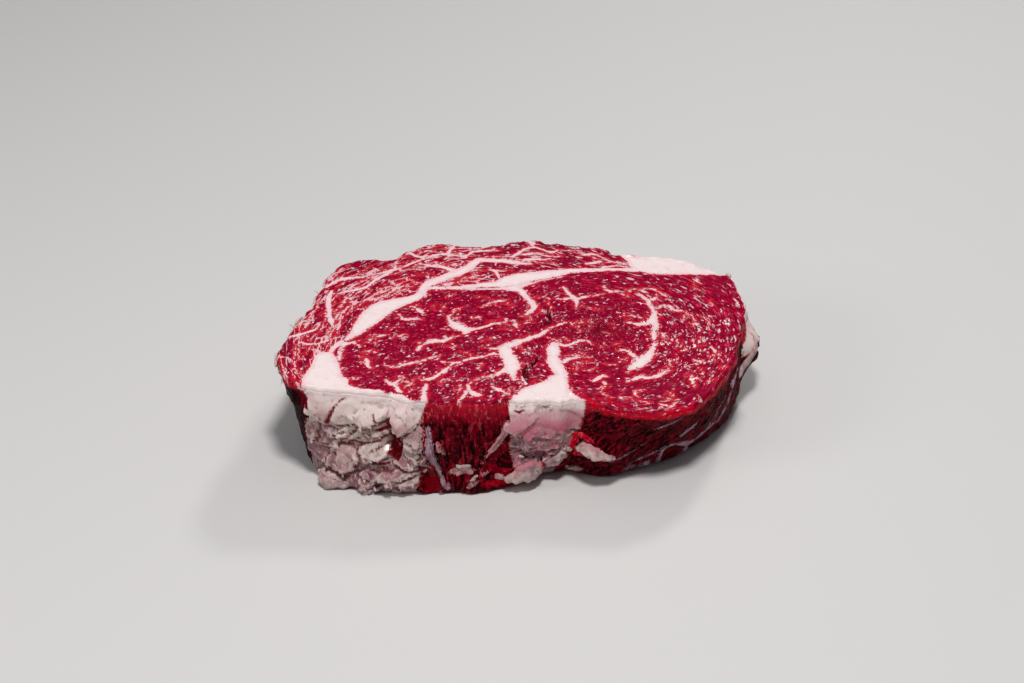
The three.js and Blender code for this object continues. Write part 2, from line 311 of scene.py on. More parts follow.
def faceHeight(x, y, share, radius):
    # the plane, crowned in its middle and rounded down by a quarter circle at its rim
    s = steakShape
    z = facePlane(x, y) + s["crown"] * (1 - share**4) + 0.45 * share**12 * flatNoise(x, y, 3.2)
    fromEdge = np.minimum((1 - share) * radius, s["rimRound"])
    return z - (s["rimRound"] - np.sqrt(s["rimRound"] ** 2 - (s["rimRound"] - fromEdge) ** 2))


def wallForm(angle, t):
    # radius and height of the wall, t from 0 at the cut edge to 1 at the foot, and how far lumps and torn
    # plates stand out of it
    edge = rimRadius(angle)
    rim = faceHeight(*onCircle(edge, angle), np.ones_like(angle), edge)
    z = rim + (liftAt(angle) - rim) * t
    plain = edge + (outlineCurve(angle) - edge) * np.minimum(1, t * 4)
    plain += bellyAt(angle) * np.sin(np.pi * t) - insetAt(angle) * t**1.2
    x, y = onCircle(plain, angle)
    size = steakShape["cragSize"]
    crags = cragAt(angle) * plateField(x / size, y / size, z / size * 1.15, 0.12)
    return plain, z, rim, lumpReach(angle, plain, z) + crags


# Torn flaps of fat: direction, height, half-width, half-height, turn, raise, extra raise of the lower edge,
# pinkness, brownness.
fatFlaps = [
    (215.4, 33, 4.6, 5.4, 10, 0.5, 0.3, 0.6, 0.1),
    (220.2, 32.4, 4.6, 5.2, -14, 0.8, 0.4, 0.3, 0.0),
    (224.6, 33.0, 5.0, 3.6, 16, 1.2, 0.9, 0.0, 0.0),
    (233.9, 33, 5.2, 5.2, 0, 0.9, 0.3, 0.65, 0.0),
    (219.4, 23.6, 5.0, 3.0, 0, 0.6, 0.5, 0.25, 0.55),
    (225.2, 24.6, 4.0, 2.6, 10, 0.4, 0.4, 0.45, 0.7),
    (219.6, 12.8, 5.4, 5.6, 18, 0.9, 0.6, 0.7, 0.35),
    (226.8, 18.4, 5.2, 2.9, -4, 1.1, 0.8, 0.05, 0.15),
    (226.6, 7.6, 3.4, 3.6, 0, 0.9, 0.5, 0.5, 0.3),
    (233.2, 8.0, 5.8, 3.2, -6, 1.3, 0.8, 0.75, 0.4),
    (217.2, 3.6, 4.6, 3.0, 0, 1.2, 0.2, 0.15, 0.5),
    (234.8, 14.8, 4.0, 2.4, 8, 0.5, 0.4, 0.9, 0.6),
    (236.6, 22.4, 2.4, 6.0, 0, 0.5, 0.1, 0.5, 0.2),
    (226.6, 2.4, 3.0, 1.4, 0, 0.9, 0.2, 0.1, 0.2),
    (212.6, 22.5, 2.0, 6.0, 0, 0.5, 0.2, 0.45, 0.8),
    (269.0, 32.5, 6.6, 7.6, -38, 0.7, 0.2, 0.3, 0.2),
    (284.5, 12.0, 4.4, 3.0, 24, 0.6, 0.4, 0.25, 0.2),
    (10, 26, 6.0, 5.0, 20, 0.6, 0.6, 0.3, 0.2),
    (22, 17, 5.5, 5.0, -15, 0.8, 0.6, 0.5, 0.2),
    (34, 27, 7.0, 4.6, 8, 0.7, 0.6, 0.2, 0.2),
    (33, 11, 6.5, 4.6, 0, 0.8, 0.5, 0.6, 0.2),
    (47, 20, 7.0, 6.0, -20, 0.8, 0.6, 0.35, 0.2),
    (58, 10, 6.0, 4.0, 10, 0.7, 0.5, 0.6, 0.2),
    (131, 20, 6.0, 5.4, 15, 0.7, 0.5, 0.5, 0.2),
    (149, 15, 6.5, 5.6, -10, 0.8, 0.5, 0.3, 0.2),
    (171, 16, 6.0, 6.0, 20, 0.7, 0.5, 0.55, 0.2),
]


def flapRelief(angle, radius, z):
    # flaps lie over each other like scales, so the highest one wins; their edges wander with noise. Gives the
    # raise, the pinkness and the brownness of the flap on top
    x, y = onCircle(radius, angle)
    wander = [1.1 * roundNoise(x, y, z, 2.8, k) + 0.3 * roundNoise(x, y, z, 0.9, k) for k in (0, 31)]
    raised, pink, brown = np.zeros_like(z), np.full_like(z, 0.45), np.full_like(z, 0.8)
    for at, height, wide, tall, turn, up, tip, tone, dull in fatFlaps:
        u, v = rotated(turnFrom(angle, at) * radius + wander[0], z - height + wander[1], turn)
        u, v = u / wide, v / tall
        inside = smoothStep(1.12, 0.94, np.sqrt(u * u + v * v * (1 + 0.4 * u * u)))
        own = inside * (up - tip * v)
        onTop = (own > raised) & (inside > 0.3)
        pink, brown = np.where(onTop, tone, pink), np.where(onTop, dull, brown)
        raised = np.maximum(raised, own)
    return raised, pink, brown


unpainted = -5.0  # depth where no stroke reaches


class PaintedSheet:
    # a map whose cells hold how deep they lie inside the nearest stroke, in millimetres

    def __init__(self, u0, u1, v0, v1, step):
        self.u0, self.v0, self.step = u0, v0, step
        self.cells = np.full((int((v1 - v0) / step) + 2, int((u1 - u0) / step) + 2), unpainted)

    def paint(self, line, margin=4.0):
        # depth inside a line = its half-width there less the distance to it, and the deepest line wins
        step, (high, wide) = self.step, self.cells.shape
        for (u0, v0, r0), (u1, v1, r1) in zip(line[:-1], line[1:]):
            reach = max(r0, r1) + margin
            i0 = max(int((min(u0, u1) - reach - self.u0) / step), 0)
            i1 = min(int((max(u0, u1) + reach - self.u0) / step) + 2, wide)
            j0 = max(int((min(v0, v1) - reach - self.v0) / step), 0)
            j1 = min(int((max(v0, v1) + reach - self.v0) / step) + 2, high)
            if i0 < i1 and j0 < j1:
                u = self.u0 + np.arange(i0, i1)[None] * step - u0
                v = self.v0 + np.arange(j0, j1)[:, None] * step - v0
                du, dv = u1 - u0, v1 - v0
                t = np.clip((u * du + v * dv) / max(du * du + dv * dv, 1e-9), 0, 1)
                depth = r0 + (r1 - r0) * t - np.hypot(u - t * du, v - t * dv)
                self.cells[j0:j1, i0:i1] = np.maximum(self.cells[j0:j1, i0:i1], depth)

    def read(self, u, v):
        # the cells blended linearly between the four nearest
        cells = self.cells
        a = np.clip((u - self.u0) / self.step, 0, cells.shape[1] - 1.001)
        b = np.clip((v - self.v0) / self.step, 0, cells.shape[0] - 1.001)
        i, j = a.astype(int), b.astype(int)
        a, b = a - i, b - j
        return ((cells[j, i] * (1 - a) + cells[j, i + 1] * a) * (1 - b)
                + (cells[j + 1, i] * (1 - a) + cells[j + 1, i + 1] * a) * b)


marbling = {
    "seed": 11,
    "eyeVeins": {"count": 110, "across": (-84, 88), "deep": (-58, 46), "steps": 5, "halfWidth": (0.15, 0.42),
                 "wander": 0.6},
    "capVeins": {"count": 72, "across": (-92, 60), "deep": (-50, 62), "steps": 22, "halfWidth": (0.22, 0.42),
                 "wander": 0.12},
    "capCentre": (-5.0, -25.0),  # the cap's grain turns about this point
    "swirlCentre": (30.0, -8.0),  # and the right half of the eye about this one
    "capSize": 70.0,  # radius of the circle that stands for a whole turn of the grain
    "swirlSize": 22.0,
    "leanLength": 70.0,  # how far down the wall its bundles would lean by one radian
    "leftGrain": 30.0,  # grain of the left half of the eye, degrees
    "swirlFrom": 5.0,  # x where the right half starts
    "capEdge": [(-80, -50), (-72, -42), (-64.3, -19), (-52.5, 3.5), (-41, 12), (-33, 20.5), (-22, 22.8),
                (-9, 25.5), (1, 31), (20, 37.3), (45, 40.5), (60, 44), (80, 41)],
    "eyeBundle": (5.0, 3.2),  # length and width of a bundle of fibres
    "capBundle": (12.0, 2.7),
    "flecked": [  # x, y, half-length, half-width, then more or less marbling
        (50, -40, 26, 9, -0.9), (20, -42, 10, 8, -0.3), (36, -14, 10, 12, -0.5), (66, 6, 14, 22, 0.5),
        (-40, -36, 26, 12, 0.3), (-10, 6, 24, 10, -0.2), (24, 26, 16, 6, -0.4), (-8, -44, 12, 8, 0.2),
    ],
}


def inCap(x, y):
    # 1 in the cap and 0 in the eye: beyond the edge line, in polar terms about the cap's centre
    cx, cy = marbling["capCentre"]
    line = sorted((math.atan2(b - cy, a - cx) % (2 * math.pi), math.hypot(a - cx, b - cy))
                  for a, b in marbling["capEdge"])
    angle = np.mod(np.arctan2(y - cy, x - cx), 2 * np.pi)
    edge = np.interp(angle, [p[0] for p in line], [p[1] for p in line], left=200, right=200)
    return (np.hypot(x - cx, y - cy) > edge).astype(float)


def byMuscle(x, y, left, right, cap):
    # picks the value for the left half of the eye, its right half or the cap
    return np.where(inCap(x, y) > 0.5, cap, np.where(x > marbling["swirlFrom"], right, left))


def bundleField(x, y):
    # bundles of fibres on the cut face: cells stretched along the grain, which is straight in the left of the
    # eye and runs round a centre elsewhere. Gives the distance to the bundle's edge in millimetres and the
    # bundle's own number
    u, v = x + 0.8 * flatNoise(x, y, 4), y + 0.8 * flatNoise(x, y, 4, 9)

    def roundCells(muscle, long, wide):
        centre = marbling[muscle + "Centre"]
        dx, dy = u - centre[0], v - centre[1]
        r = np.hypot(dx, dy) + 1e-6
        size = marbling[muscle + "Size"] / long
        return cellField(dx / r * size, dy / r * size, r / wide)

    (long, wide), (capLong, capWide) = marbling["eyeBundle"], marbling["capBundle"]
    a, b = rotated(u, v, marbling["leftGrain"])
    left, right = cellField(a / long, b / wide, 0.0), roundCells("swirl", long, wide)
    cap = roundCells("cap", capLong, capWide)
    return (0.5 * byMuscle(x, y, left[1] * wide, right[1] * wide, cap[1] * capWide),
            byMuscle(x, y, left[2], right[2], cap[2]))


def fleckedAt(x, y):
    # how much more or less marbled than usual: gaussian spots
    total = np.zeros_like(x)
    for cx, cy, long, wide, share in marbling["flecked"]:
        total += share * np.exp(-(((x - cx) / long) ** 2) - ((y - cy) / wide) ** 2)
    return total


def grainAngle(x, y):
    # the way the fibres lie on the cut face
    swirl, cap = (np.arctan2(y - cy, x - cx) + np.pi / 2
                  for cx, cy in (marbling["swirlCentre"], marbling["capCentre"]))
    return byMuscle(x, y, math.radians(marbling["leftGrain"]), swirl, cap)


def growVeins(rng, x, y, steps, halfWidth, wander, step=1.0):
    # each vein walks along the grain from its start, turning a little at every step, and swells in its middle
    turn = rng.normal(0, wander, x.shape)
    line = np.zeros((len(x), steps + 1, 3))
    for n in range(steps + 1):
        swell = np.sin(np.pi * (n + 0.5) / (steps + 1)) ** 0.7
        line[:, n] = np.stack([x, y, halfWidth * swell * rng.uniform(0.5, 1.2, x.shape)], 1)
        turn = 0.7 * turn + rng.normal(0, wander, x.shape)
        dx, dy = onCircle(step, grainAngle(x, y) + turn)
        x, y = x + dx, y + dy
    return line


# Fat on the cut face: x, y and half-width along each seam.
faceSeams = {
    "archFoot": [(-72.5, -32, 4), (-72, -37, 5.2), (-72.2, -43, 6.6), (-72, -48, 8), (-70, -54, 9)],
    "archFootTop": [(-70.5, -28, 0.8), (-69.5, -25, 1.2), (-68, -22.5, 1.2), (-66.7, -20.8, 0.9)],
    "archInner": [(-67.2, -33, 0.8), (-67, -29, 0.8), (-66.5, -25, 0.9), (-65.5, -22.6, 1.1),
                  (-63.3, -21.8, 0.8), (-60, -20.2, 0.4)],
    "arch": [(-65, -19.5, 1.0), (-62, -15, 2.3), (-59, -8, 3.8), (-56, -2, 4.7), (-52.5, 3.5, 4.6),
             (-48.5, 7, 3.7), (-44.5, 9.6, 2.9), (-41, 12, 2.4), (-38.3, 15.5, 2.1), (-37.3, 20, 1.9),
             (-35, 24, 1.8), (-31, 27.3, 1.9), (-27.5, 30, 2.0), (-23.5, 33, 2.3), (-20.3, 36.3, 2.1),
             (-17.8, 40, 1.8), (-15.6, 42.3, 1.5), (-10, 42.2, 1.2), (-5, 42.1, 1.2), (0, 41.2, 1.0),
             (5, 41, 0.4)],
    "archSide": [(-26, 33.5, 1.6), (-30, 35.5, 1.0), (-34, 36, 0.7), (-40, 37.5, 0.5)],
    "lowerBand": [(-36, 20.5, 1.1), (-29, 21.2, 1.2), (-22, 22.8, 1.2), (-15, 24.6, 1.8), (-9, 25.8, 2.5),
                  (-4, 28.5, 3.7), (1, 31, 3.7), (5.5, 32.7, 3.1), (10.5, 34.3, 2.8), (15.5, 35.8, 2.1),
                  (20, 37.4, 1.7), (26, 38.6, 1.4), (33, 39.6, 1.2), (40, 40, 1.3), (46, 40.2, 2)],
    "underCrack": [(-31, 20.6, 0.7), (-22, 21.3, 0.9), (-14, 21.6, 1.0), (-8, 22.3, 1.5), (-3, 23, 2.1),
                   (2, 25.4, 1.4), (6, 28, 0.9), (11, 30.6, 0.6), (17, 33.2, 0.6)],
    "wedge": [(42.5, 51, 1.8), (46.5, 47.5, 3.4), (51, 45.5, 7.3), (57, 45.2, 7.8), (63, 45, 6.8),
              (69, 44, 5.2), (74.5, 42.3, 3), (79.5, 41.2, 1.4)],
    "curl": [(-6, 22.6, 1.6), (-1.5, 22, 2.1), (0.8, 19.8, 1.8), (2.2, 16.8, 1.3), (4, 13.5, 1.5),
             (5.5, 10, 1.4), (5, 7, 1.1), (3, 4, 0.9), (0.8, 1, 0.4)],
    "starStem": [(17, 24.5, 0.4), (18.4, 21.3, 0.7), (20, 18.3, 1.1), (21.5, 15.5, 1.4), (22, 12, 0.9),
                 (21.7, 8, 0.3)],
    "starArms": [(14.2, 15.6, 0.3), (17, 15.3, 0.6), (20.5, 16, 0.9), (23, 16, 0.8), (25.7, 17.4, 0.6),
                 (29, 18.5, 0.5), (33.5, 20.6, 0.4)],
    "smallStar": [(33, 26, 0.3), (33.8, 23.6, 0.7), (35.4, 22, 0.9), (38, 22.4, 0.5), (41.3, 22.2, 0.3)],
    "swirlTop": [(46.2, 22.5, 0.3), (47.2, 20.4, 0.6), (48.6, 18, 0.9), (50.3, 15.4, 1.1), (50.5, 12, 1.0),
                 (51.8, 8.5, 1.0), (51.8, 5, 1.3), (51.1, 1, 2.1), (52, -2, 1.5), (51.3, -5, 1.2),
                 (51, -9, 1.3), (51, -12, 1.0)],
    "swirlLow": [(52, -14.5, 0.4), (50.5, -16.5, 1.0), (49.5, -20, 1.3), (48, -23.5, 2), (46, -26, 2.6),
                 (44, -29, 2.3), (42, -31, 1.4), (40.2, -32.2, 0.4)],
    "swirlArm": [(50.4, 1, 1.6), (48.5, -1.2, 1.2), (45.5, -2.3, 1.3), (43, -1.6, 0.8), (41, -1.3, 0.4)],
    "swirlFork": [(50.5, 15.5, 0.8), (52.6, 18.4, 0.8), (54.2, 20.6, 0.4)],
    "swirlCrest": [(47.8, 24.8, 0.4), (50, 25.6, 0.6), (52.6, 25.4, 0.6), (55, 23.2, 0.6),
                   (57.6, 20.2, 0.3)],
    "swirlBranch": [(52.2, 9.6, 0.5), (54, 11.2, 0.6), (56, 13.2, 0.8), (58.3, 12.2, 0.9),
                    (59.3, 10.2, 0.6), (63, 9.5, 0.5), (66, 7, 0.5), (67.5, 3.5, 0.3)],
    "swirlComb": [(37.3, -20.6, 0.5), (39.5, -20, 0.8), (41.5, -22, 1.0), (43, -24, 1.1), (44.5, -26, 1.3)],
    "frontVein": [(39.2, -40, 0.4), (42, -38.5, 0.9), (44.5, -36.5, 1.1), (47.5, -37, 1.0), (50, -36, 1.0),
                  (52.5, -34.4, 0.9), (54.4, -32.2, 1.0), (55.8, -31.3, 0.6)],
    "frontBit": [(63, -33.8, 0.4), (63.8, -36.5, 0.8), (64.6, -39, 0.6)],
    "frontHook": [(27, -40.5, 0.6), (28.8, -39, 0.9), (30.5, -37, 1.0), (32.2, -37.6, 0.6)],
    "frontHook2": [(30.6, -40.5, 0.4), (31.4, -43, 0.7), (30.3, -44.8, 0.6)],
    "rightBit": [(66, -24, 0.6), (68.2, -24.7, 0.8)],
    "rightStar": [(72.6, -14.2, 0.4), (73.8, -17, 0.8), (74.8, -19.4, 0.3)],
    "columnHook": [(14.4, -30, 0.9), (16.6, -28.6, 1.0), (18.5, -26.6, 0.9), (22, -25.8, 0.6),
                   (25.7, -25.4, 0.3)],
    "columnCrest": [(14, -17, 1.0), (17.3, -17.8, 1.0), (20, -16.2, 0.8), (23, -14.2, 0.7),
                    (25.5, -15, 0.6), (27.7, -17, 0.3)],
    "column": [(13, -15.3, 0.7), (12.7, -17.5, 1.9), (12.4, -21, 2.5), (12.4, -25, 2.5), (12.7, -29, 2.8),
               (13.8, -33, 2.8), (15.3, -37, 2.3), (14, -41, 3.8), (12.5, -45.5, 5.6), (10.5, -50, 8.2),
               (9.5, -55, 12)],
    "columnFootLeft": [(3, -47.5, 2), (0.5, -50.5, 2.2), (-1.5, -54, 2.4)],
    "columnFootRight": [(18, -48, 1.5), (21, -52, 1.7), (23.5, -54.5, 1)],
    "slotSkin": [(0.8, -38.3, 0.6), (1.6, -41, 0.9), (2.1, -43.8, 0.8)],
    "leftLump": [(-5.2, -19, 1.4), (-5.7, -22, 2.6), (-5.1, -25, 3.0), (-3.8, -28.5, 3.1), (-3, -32, 3.0),
                 (-3.4, -35, 2.5), (-2.9, -38, 1.5), (-2, -41, 0.8)],
    "lumpTail": [(-4, -19.5, 2), (-1, -17, 1.6), (2, -15, 1.3), (5, -12.7, 1.3), (8, -10.3, 1.1),
                 (10, -7.6, 0.9), (11.5, -5.7, 0.7), (13, -4.3, 0.3)],
    "tailEnd": [(13.8, -4.2, 0.4), (15.5, -3, 0.8), (17.2, -1.6, 0.4)],
    "lumpLeftArm": [(-7.5, -22.2, 1.0), (-11, -22.2, 0.6), (-14, -21.7, 0.3)],
    "lumpFoot": [(-4.8, -35, 1.6), (-7, -37, 0.9), (-8.6, -38.6, 0.9), (-11, -39.9, 0.6),
                 (-14.5, -41.2, 0.5), (-17.2, -43.4, 0.4), (-18.7, -46, 0.4), (-18.8, -48, 0.8),
                 (-18.3, -49.9, 1.0), (-16.6, -51.4, 1.3), (-14.4, -51.7, 0.6)],
    "lumpFoot2": [(-19.3, -50, 0.8), (-20.6, -53, 0.7), (-22.3, -55.5, 0.5)],
    "nearEdgeVein": [(-10.3, -46.4, 0.3), (-8, -48, 0.8), (-5.6, -49.8, 0.5)],
    "midPatch": [(-27.4, -2, 0.6), (-26.4, -5, 1.1), (-24.5, -8, 2.4), (-22, -9.6, 2.4),
                 (-20.2, -11.8, 1.5), (-21.6, -14.2, 0.5)],
    "midPatchArm": [(-21, -9.6, 1.8), (-17.5, -10, 1.0), (-14.5, -8.2, 0.7), (-12, -6.8, 0.6),
                    (-10.4, -5, 0.7), (-7, -4, 0.7), (-5.2, -2.8, 0.6), (-5.4, -0.6, 0.4)],
    "midSpot": [(-3.4, -2.2, 0.4), (-1.7, -2.9, 1.0), (-1.7, -5, 1.1), (-1, -6.7, 0.4)],
    "midTop": [(-23.4, 5.2, 0.4), (-24.8, 3.4, 0.5), (-26, 0.6, 0.4), (-27.3, -1.6, 0.6)],
    "midVein": [(-15.2, 6.5, 0.4), (-12.6, 9.2, 0.6), (-9.5, 11.6, 0.8), (-6, 12.6, 0.6),
                (-4.6, 13.4, 0.3)],
    "midDots": [(-18.2, -2, 0.4), (-16.2, -1, 0.8), (-15, -0.6, 0.4)],
    "edgeStar": [(-46, -1, 0.4), (-44.6, -3.8, 0.9), (-42, -4.3, 1.1), (-40, -3.8, 0.8), (-37, -4.3, 0.4)],
    "edgeStar2": [(-40.6, 5.4, 0.5), (-38.7, 2.6, 1.0), (-37, 0.8, 0.4)],
    "lowPatch": [(-36.6, -22.7, 0.3), (-34.6, -20.5, 1.0), (-32, -19.5, 1.3), (-29, -19.2, 1.0),
                 (-27, -17.7, 0.9), (-24.8, -16, 0.5), (-22.4, -15, 0.3)],
    "lowPatch2": [(-38.8, -26.6, 0.3), (-37.5, -24, 0.9), (-36.6, -21.6, 0.3)],
    "longVein": [(-49.6, -36.4, 0.5), (-47.5, -37.3, 0.7), (-45, -36.5, 0.6), (-42, -35, 0.6),
                 (-39, -33.8, 0.8), (-36, -32.4, 0.6), (-33, -30.6, 0.4), (-30, -29.2, 0.3)],
    "longVein2": [(-36, -44.4, 0.4), (-33.8, -43.9, 1.0), (-31.6, -42.4, 0.7), (-29.8, -40.4, 0.9),
                  (-28, -38.4, 0.9), (-26.4, -35.4, 0.5), (-24.5, -33, 0.7), (-22, -32, 0.5),
                  (-20, -30.4, 0.8), (-18, -29.2, 0.9), (-15, -28.4, 0.6), (-12, -26.6, 0.6),
                  (-9.5, -25.4, 0.8)],
    "cornerStar": [(-49.2, -45.2, 0.4), (-48, -47, 0.8), (-46.2, -47.8, 1.1), (-45.2, -49, 1.1),
                   (-44.4, -51.2, 0.9), (-43, -52, 0.6)],
    "cornerStar2": [(-46, -46.9, 0.8), (-44, -44, 0.7), (-42.8, -42.6, 0.5)],
    "leftStar": [(-58.6, -32.4, 0.3), (-57, -33, 0.9), (-56.6, -35.5, 1.0), (-56.2, -37.2, 0.8),
                 (-55, -38.2, 0.4)],
    "leftStar2": [(-54.6, -16, 0.4), (-53.4, -17, 0.8), (-51.6, -16.3, 0.6), (-50, -16, 0.3)],
    "leftStar3": [(-61.8, -22.4, 0.6), (-59.6, -23.9, 0.4)],
    "frontStrip": [(-35.4, -57.5, 1.6), (-35, -53, 1.1), (-34.8, -50, 0.9), (-34.5, -47, 0.5)],
    "frontBorder": [(-64.5, -46, 1.6), (-63.8, -50, 2.0), (-60, -52.8, 2.8), (-53, -56.2, 3.0),
                    (-46, -58.2, 2.6), (-38.6, -58.6, 2.2)],
    "capVein": [(-75.4, 17.6, 0.4), (-72, 22, 0.8), (-69, 24.2, 1.1), (-65, 24.9, 0.9), (-61.6, 25.2, 0.7),
                (-58, 27.5, 0.5), (-54.6, 28.2, 0.6), (-52.4, 29.6, 0.9), (-49, 31.6, 0.8),
                (-46, 34.2, 0.6), (-43, 37, 0.6), (-40, 39.6, 0.6), (-37, 42, 0.6), (-33, 44.5, 0.8),
                (-30, 45, 0.8), (-27, 43.6, 0.5)],
    "capVein2": [(-70.5, 12.6, 0.5), (-66, 14.6, 0.7), (-63, 15.5, 0.8), (-60, 17.2, 0.7), (-57.5, 21, 0.8),
                 (-55.5, 24, 0.7), (-53, 27, 0.9), (-50.5, 29.5, 0.8)],
    "capStem": [(-72.8, 15, 0.6), (-73.6, 10, 1.0), (-73.4, 4, 1.1), (-72.8, 0, 0.9), (-72.5, -4, 1.1),
                (-71.7, -7, 1.1), (-71, -9.8, 0.6)],
    "capCross": [(-76, -9.6, 0.4), (-77.2, -12.8, 0.5), (-80, -14.5, 0.7), (-83, -16.6, 0.7),
                 (-87, -18.2, 0.6)],
    "capCross2": [(-82.2, -21.6, 0.4), (-80, -22.9, 0.6), (-77, -22.8, 0.6), (-74, -21.6, 0.6),
                  (-70.6, -18.8, 0.4)],
    "capHook": [(-43.6, 46.2, 0.7), (-41.4, 43.5, 0.9), (-38.8, 42.4, 0.7), (-37, 43.5, 0.4)],
    "capStrand": [(-26, 54, 0.5), (-27, 50, 0.9), (-28.2, 47, 0.8), (-27.6, 45.4, 0.5)],
    "capWave": [(-38, 47.6, 0.3), (-34, 46.8, 0.4), (-30, 46, 0.4), (-26, 44.6, 0.6), (-22, 44.4, 0.6),
                (-20, 46, 0.6), (-18.4, 48.2, 0.8), (-15, 49.4, 0.6), (-11, 49.8, 0.5), (-9.8, 51.6, 0.3)],
    "capWave2": [(-2.8, 45.6, 0.7), (-0.6, 48, 1.0), (1.2, 50.5, 0.7), (3, 53, 0.7), (6, 54.1, 0.6),
                 (8.4, 53, 0.6), (10.6, 51.5, 0.6), (13, 50.7, 0.7), (15.4, 52.6, 0.4)],
    "capEdgeFat": [(3, 59.6, 0.4), (5, 58.8, 1.4), (5.3, 56, 0.6), (5.6, 54.3, 0.4)],
    "capWave3": [(1.4, 47.3, 0.7), (4, 48.2, 0.6), (7.5, 48.5, 0.5), (10, 47.5, 0.5), (14, 47, 0.5),
                 (17, 47.6, 0.3)],
    "capWave4": [(1.5, 43.2, 0.7), (5, 44, 0.8), (9, 44.4, 0.5), (12, 45.2, 0.3)],
    "capLink": [(-12.2, 35.8, 0.4), (-9.5, 34.5, 0.7), (-8.5, 32, 0.6), (-8, 30, 0.5)],
    "capRight": [(26.5, 43.2, 0.6), (30, 44.4, 0.9), (32.6, 45.8, 0.5)],
    "capRight2": [(25, 49.4, 0.4), (28, 50.8, 0.7), (31, 50.5, 0.6), (33.5, 48.5, 0.4), (36, 46.4, 0.6),
                  (38.6, 45.4, 0.3)],
    "capRight3": [(33, 41, 0.5), (36, 42.2, 0.5), (39, 43, 0.5), (43.6, 42.2, 0.4)],
}

print("painting the marbling")
faceArea = (-98, 98, -66, 68, 0.25)  # x and y range of the cut face's sheets, and their cell
faceSheet = PaintedSheet(*faceArea)
for line in faceSeams.values():
    faceSheet.paint(smoothLine(line))

rng = np.random.default_rng(marbling["seed"])
for inside, vein in enumerate((marbling["eyeVeins"], marbling["capVeins"])):
    tries = vein["count"] * 6
    x, y = rng.uniform(*vein["across"], tries), rng.uniform(*vein["deep"], tries)
    keep = np.hypot(x, y) < outlineCurve(np.arctan2(y, x)) - 1
    keep &= (inCap(x, y) == inside) & (faceSheet.read(x, y) < -0.6)
    x, y = x[keep][: vein["count"]], y[keep][: vein["count"]]
    for line in growVeins(rng, x, y, vein["steps"], rng.uniform(*vein["halfWidth"], len(x)), vein["wander"]):
        faceSheet.paint(line, 1.0)

# the wall unrolled: distance round the steak and depth below the cut edge
turns = np.linspace(0, 2 * np.pi, 721)
meanRadius = (outlineCurve(turns[1:]) + outlineCurve(turns[:-1])) / 2
roundLength = np.concatenate([[0], np.cumsum(meanRadius * np.diff(turns))])
wholeRound = roundLength[-1]

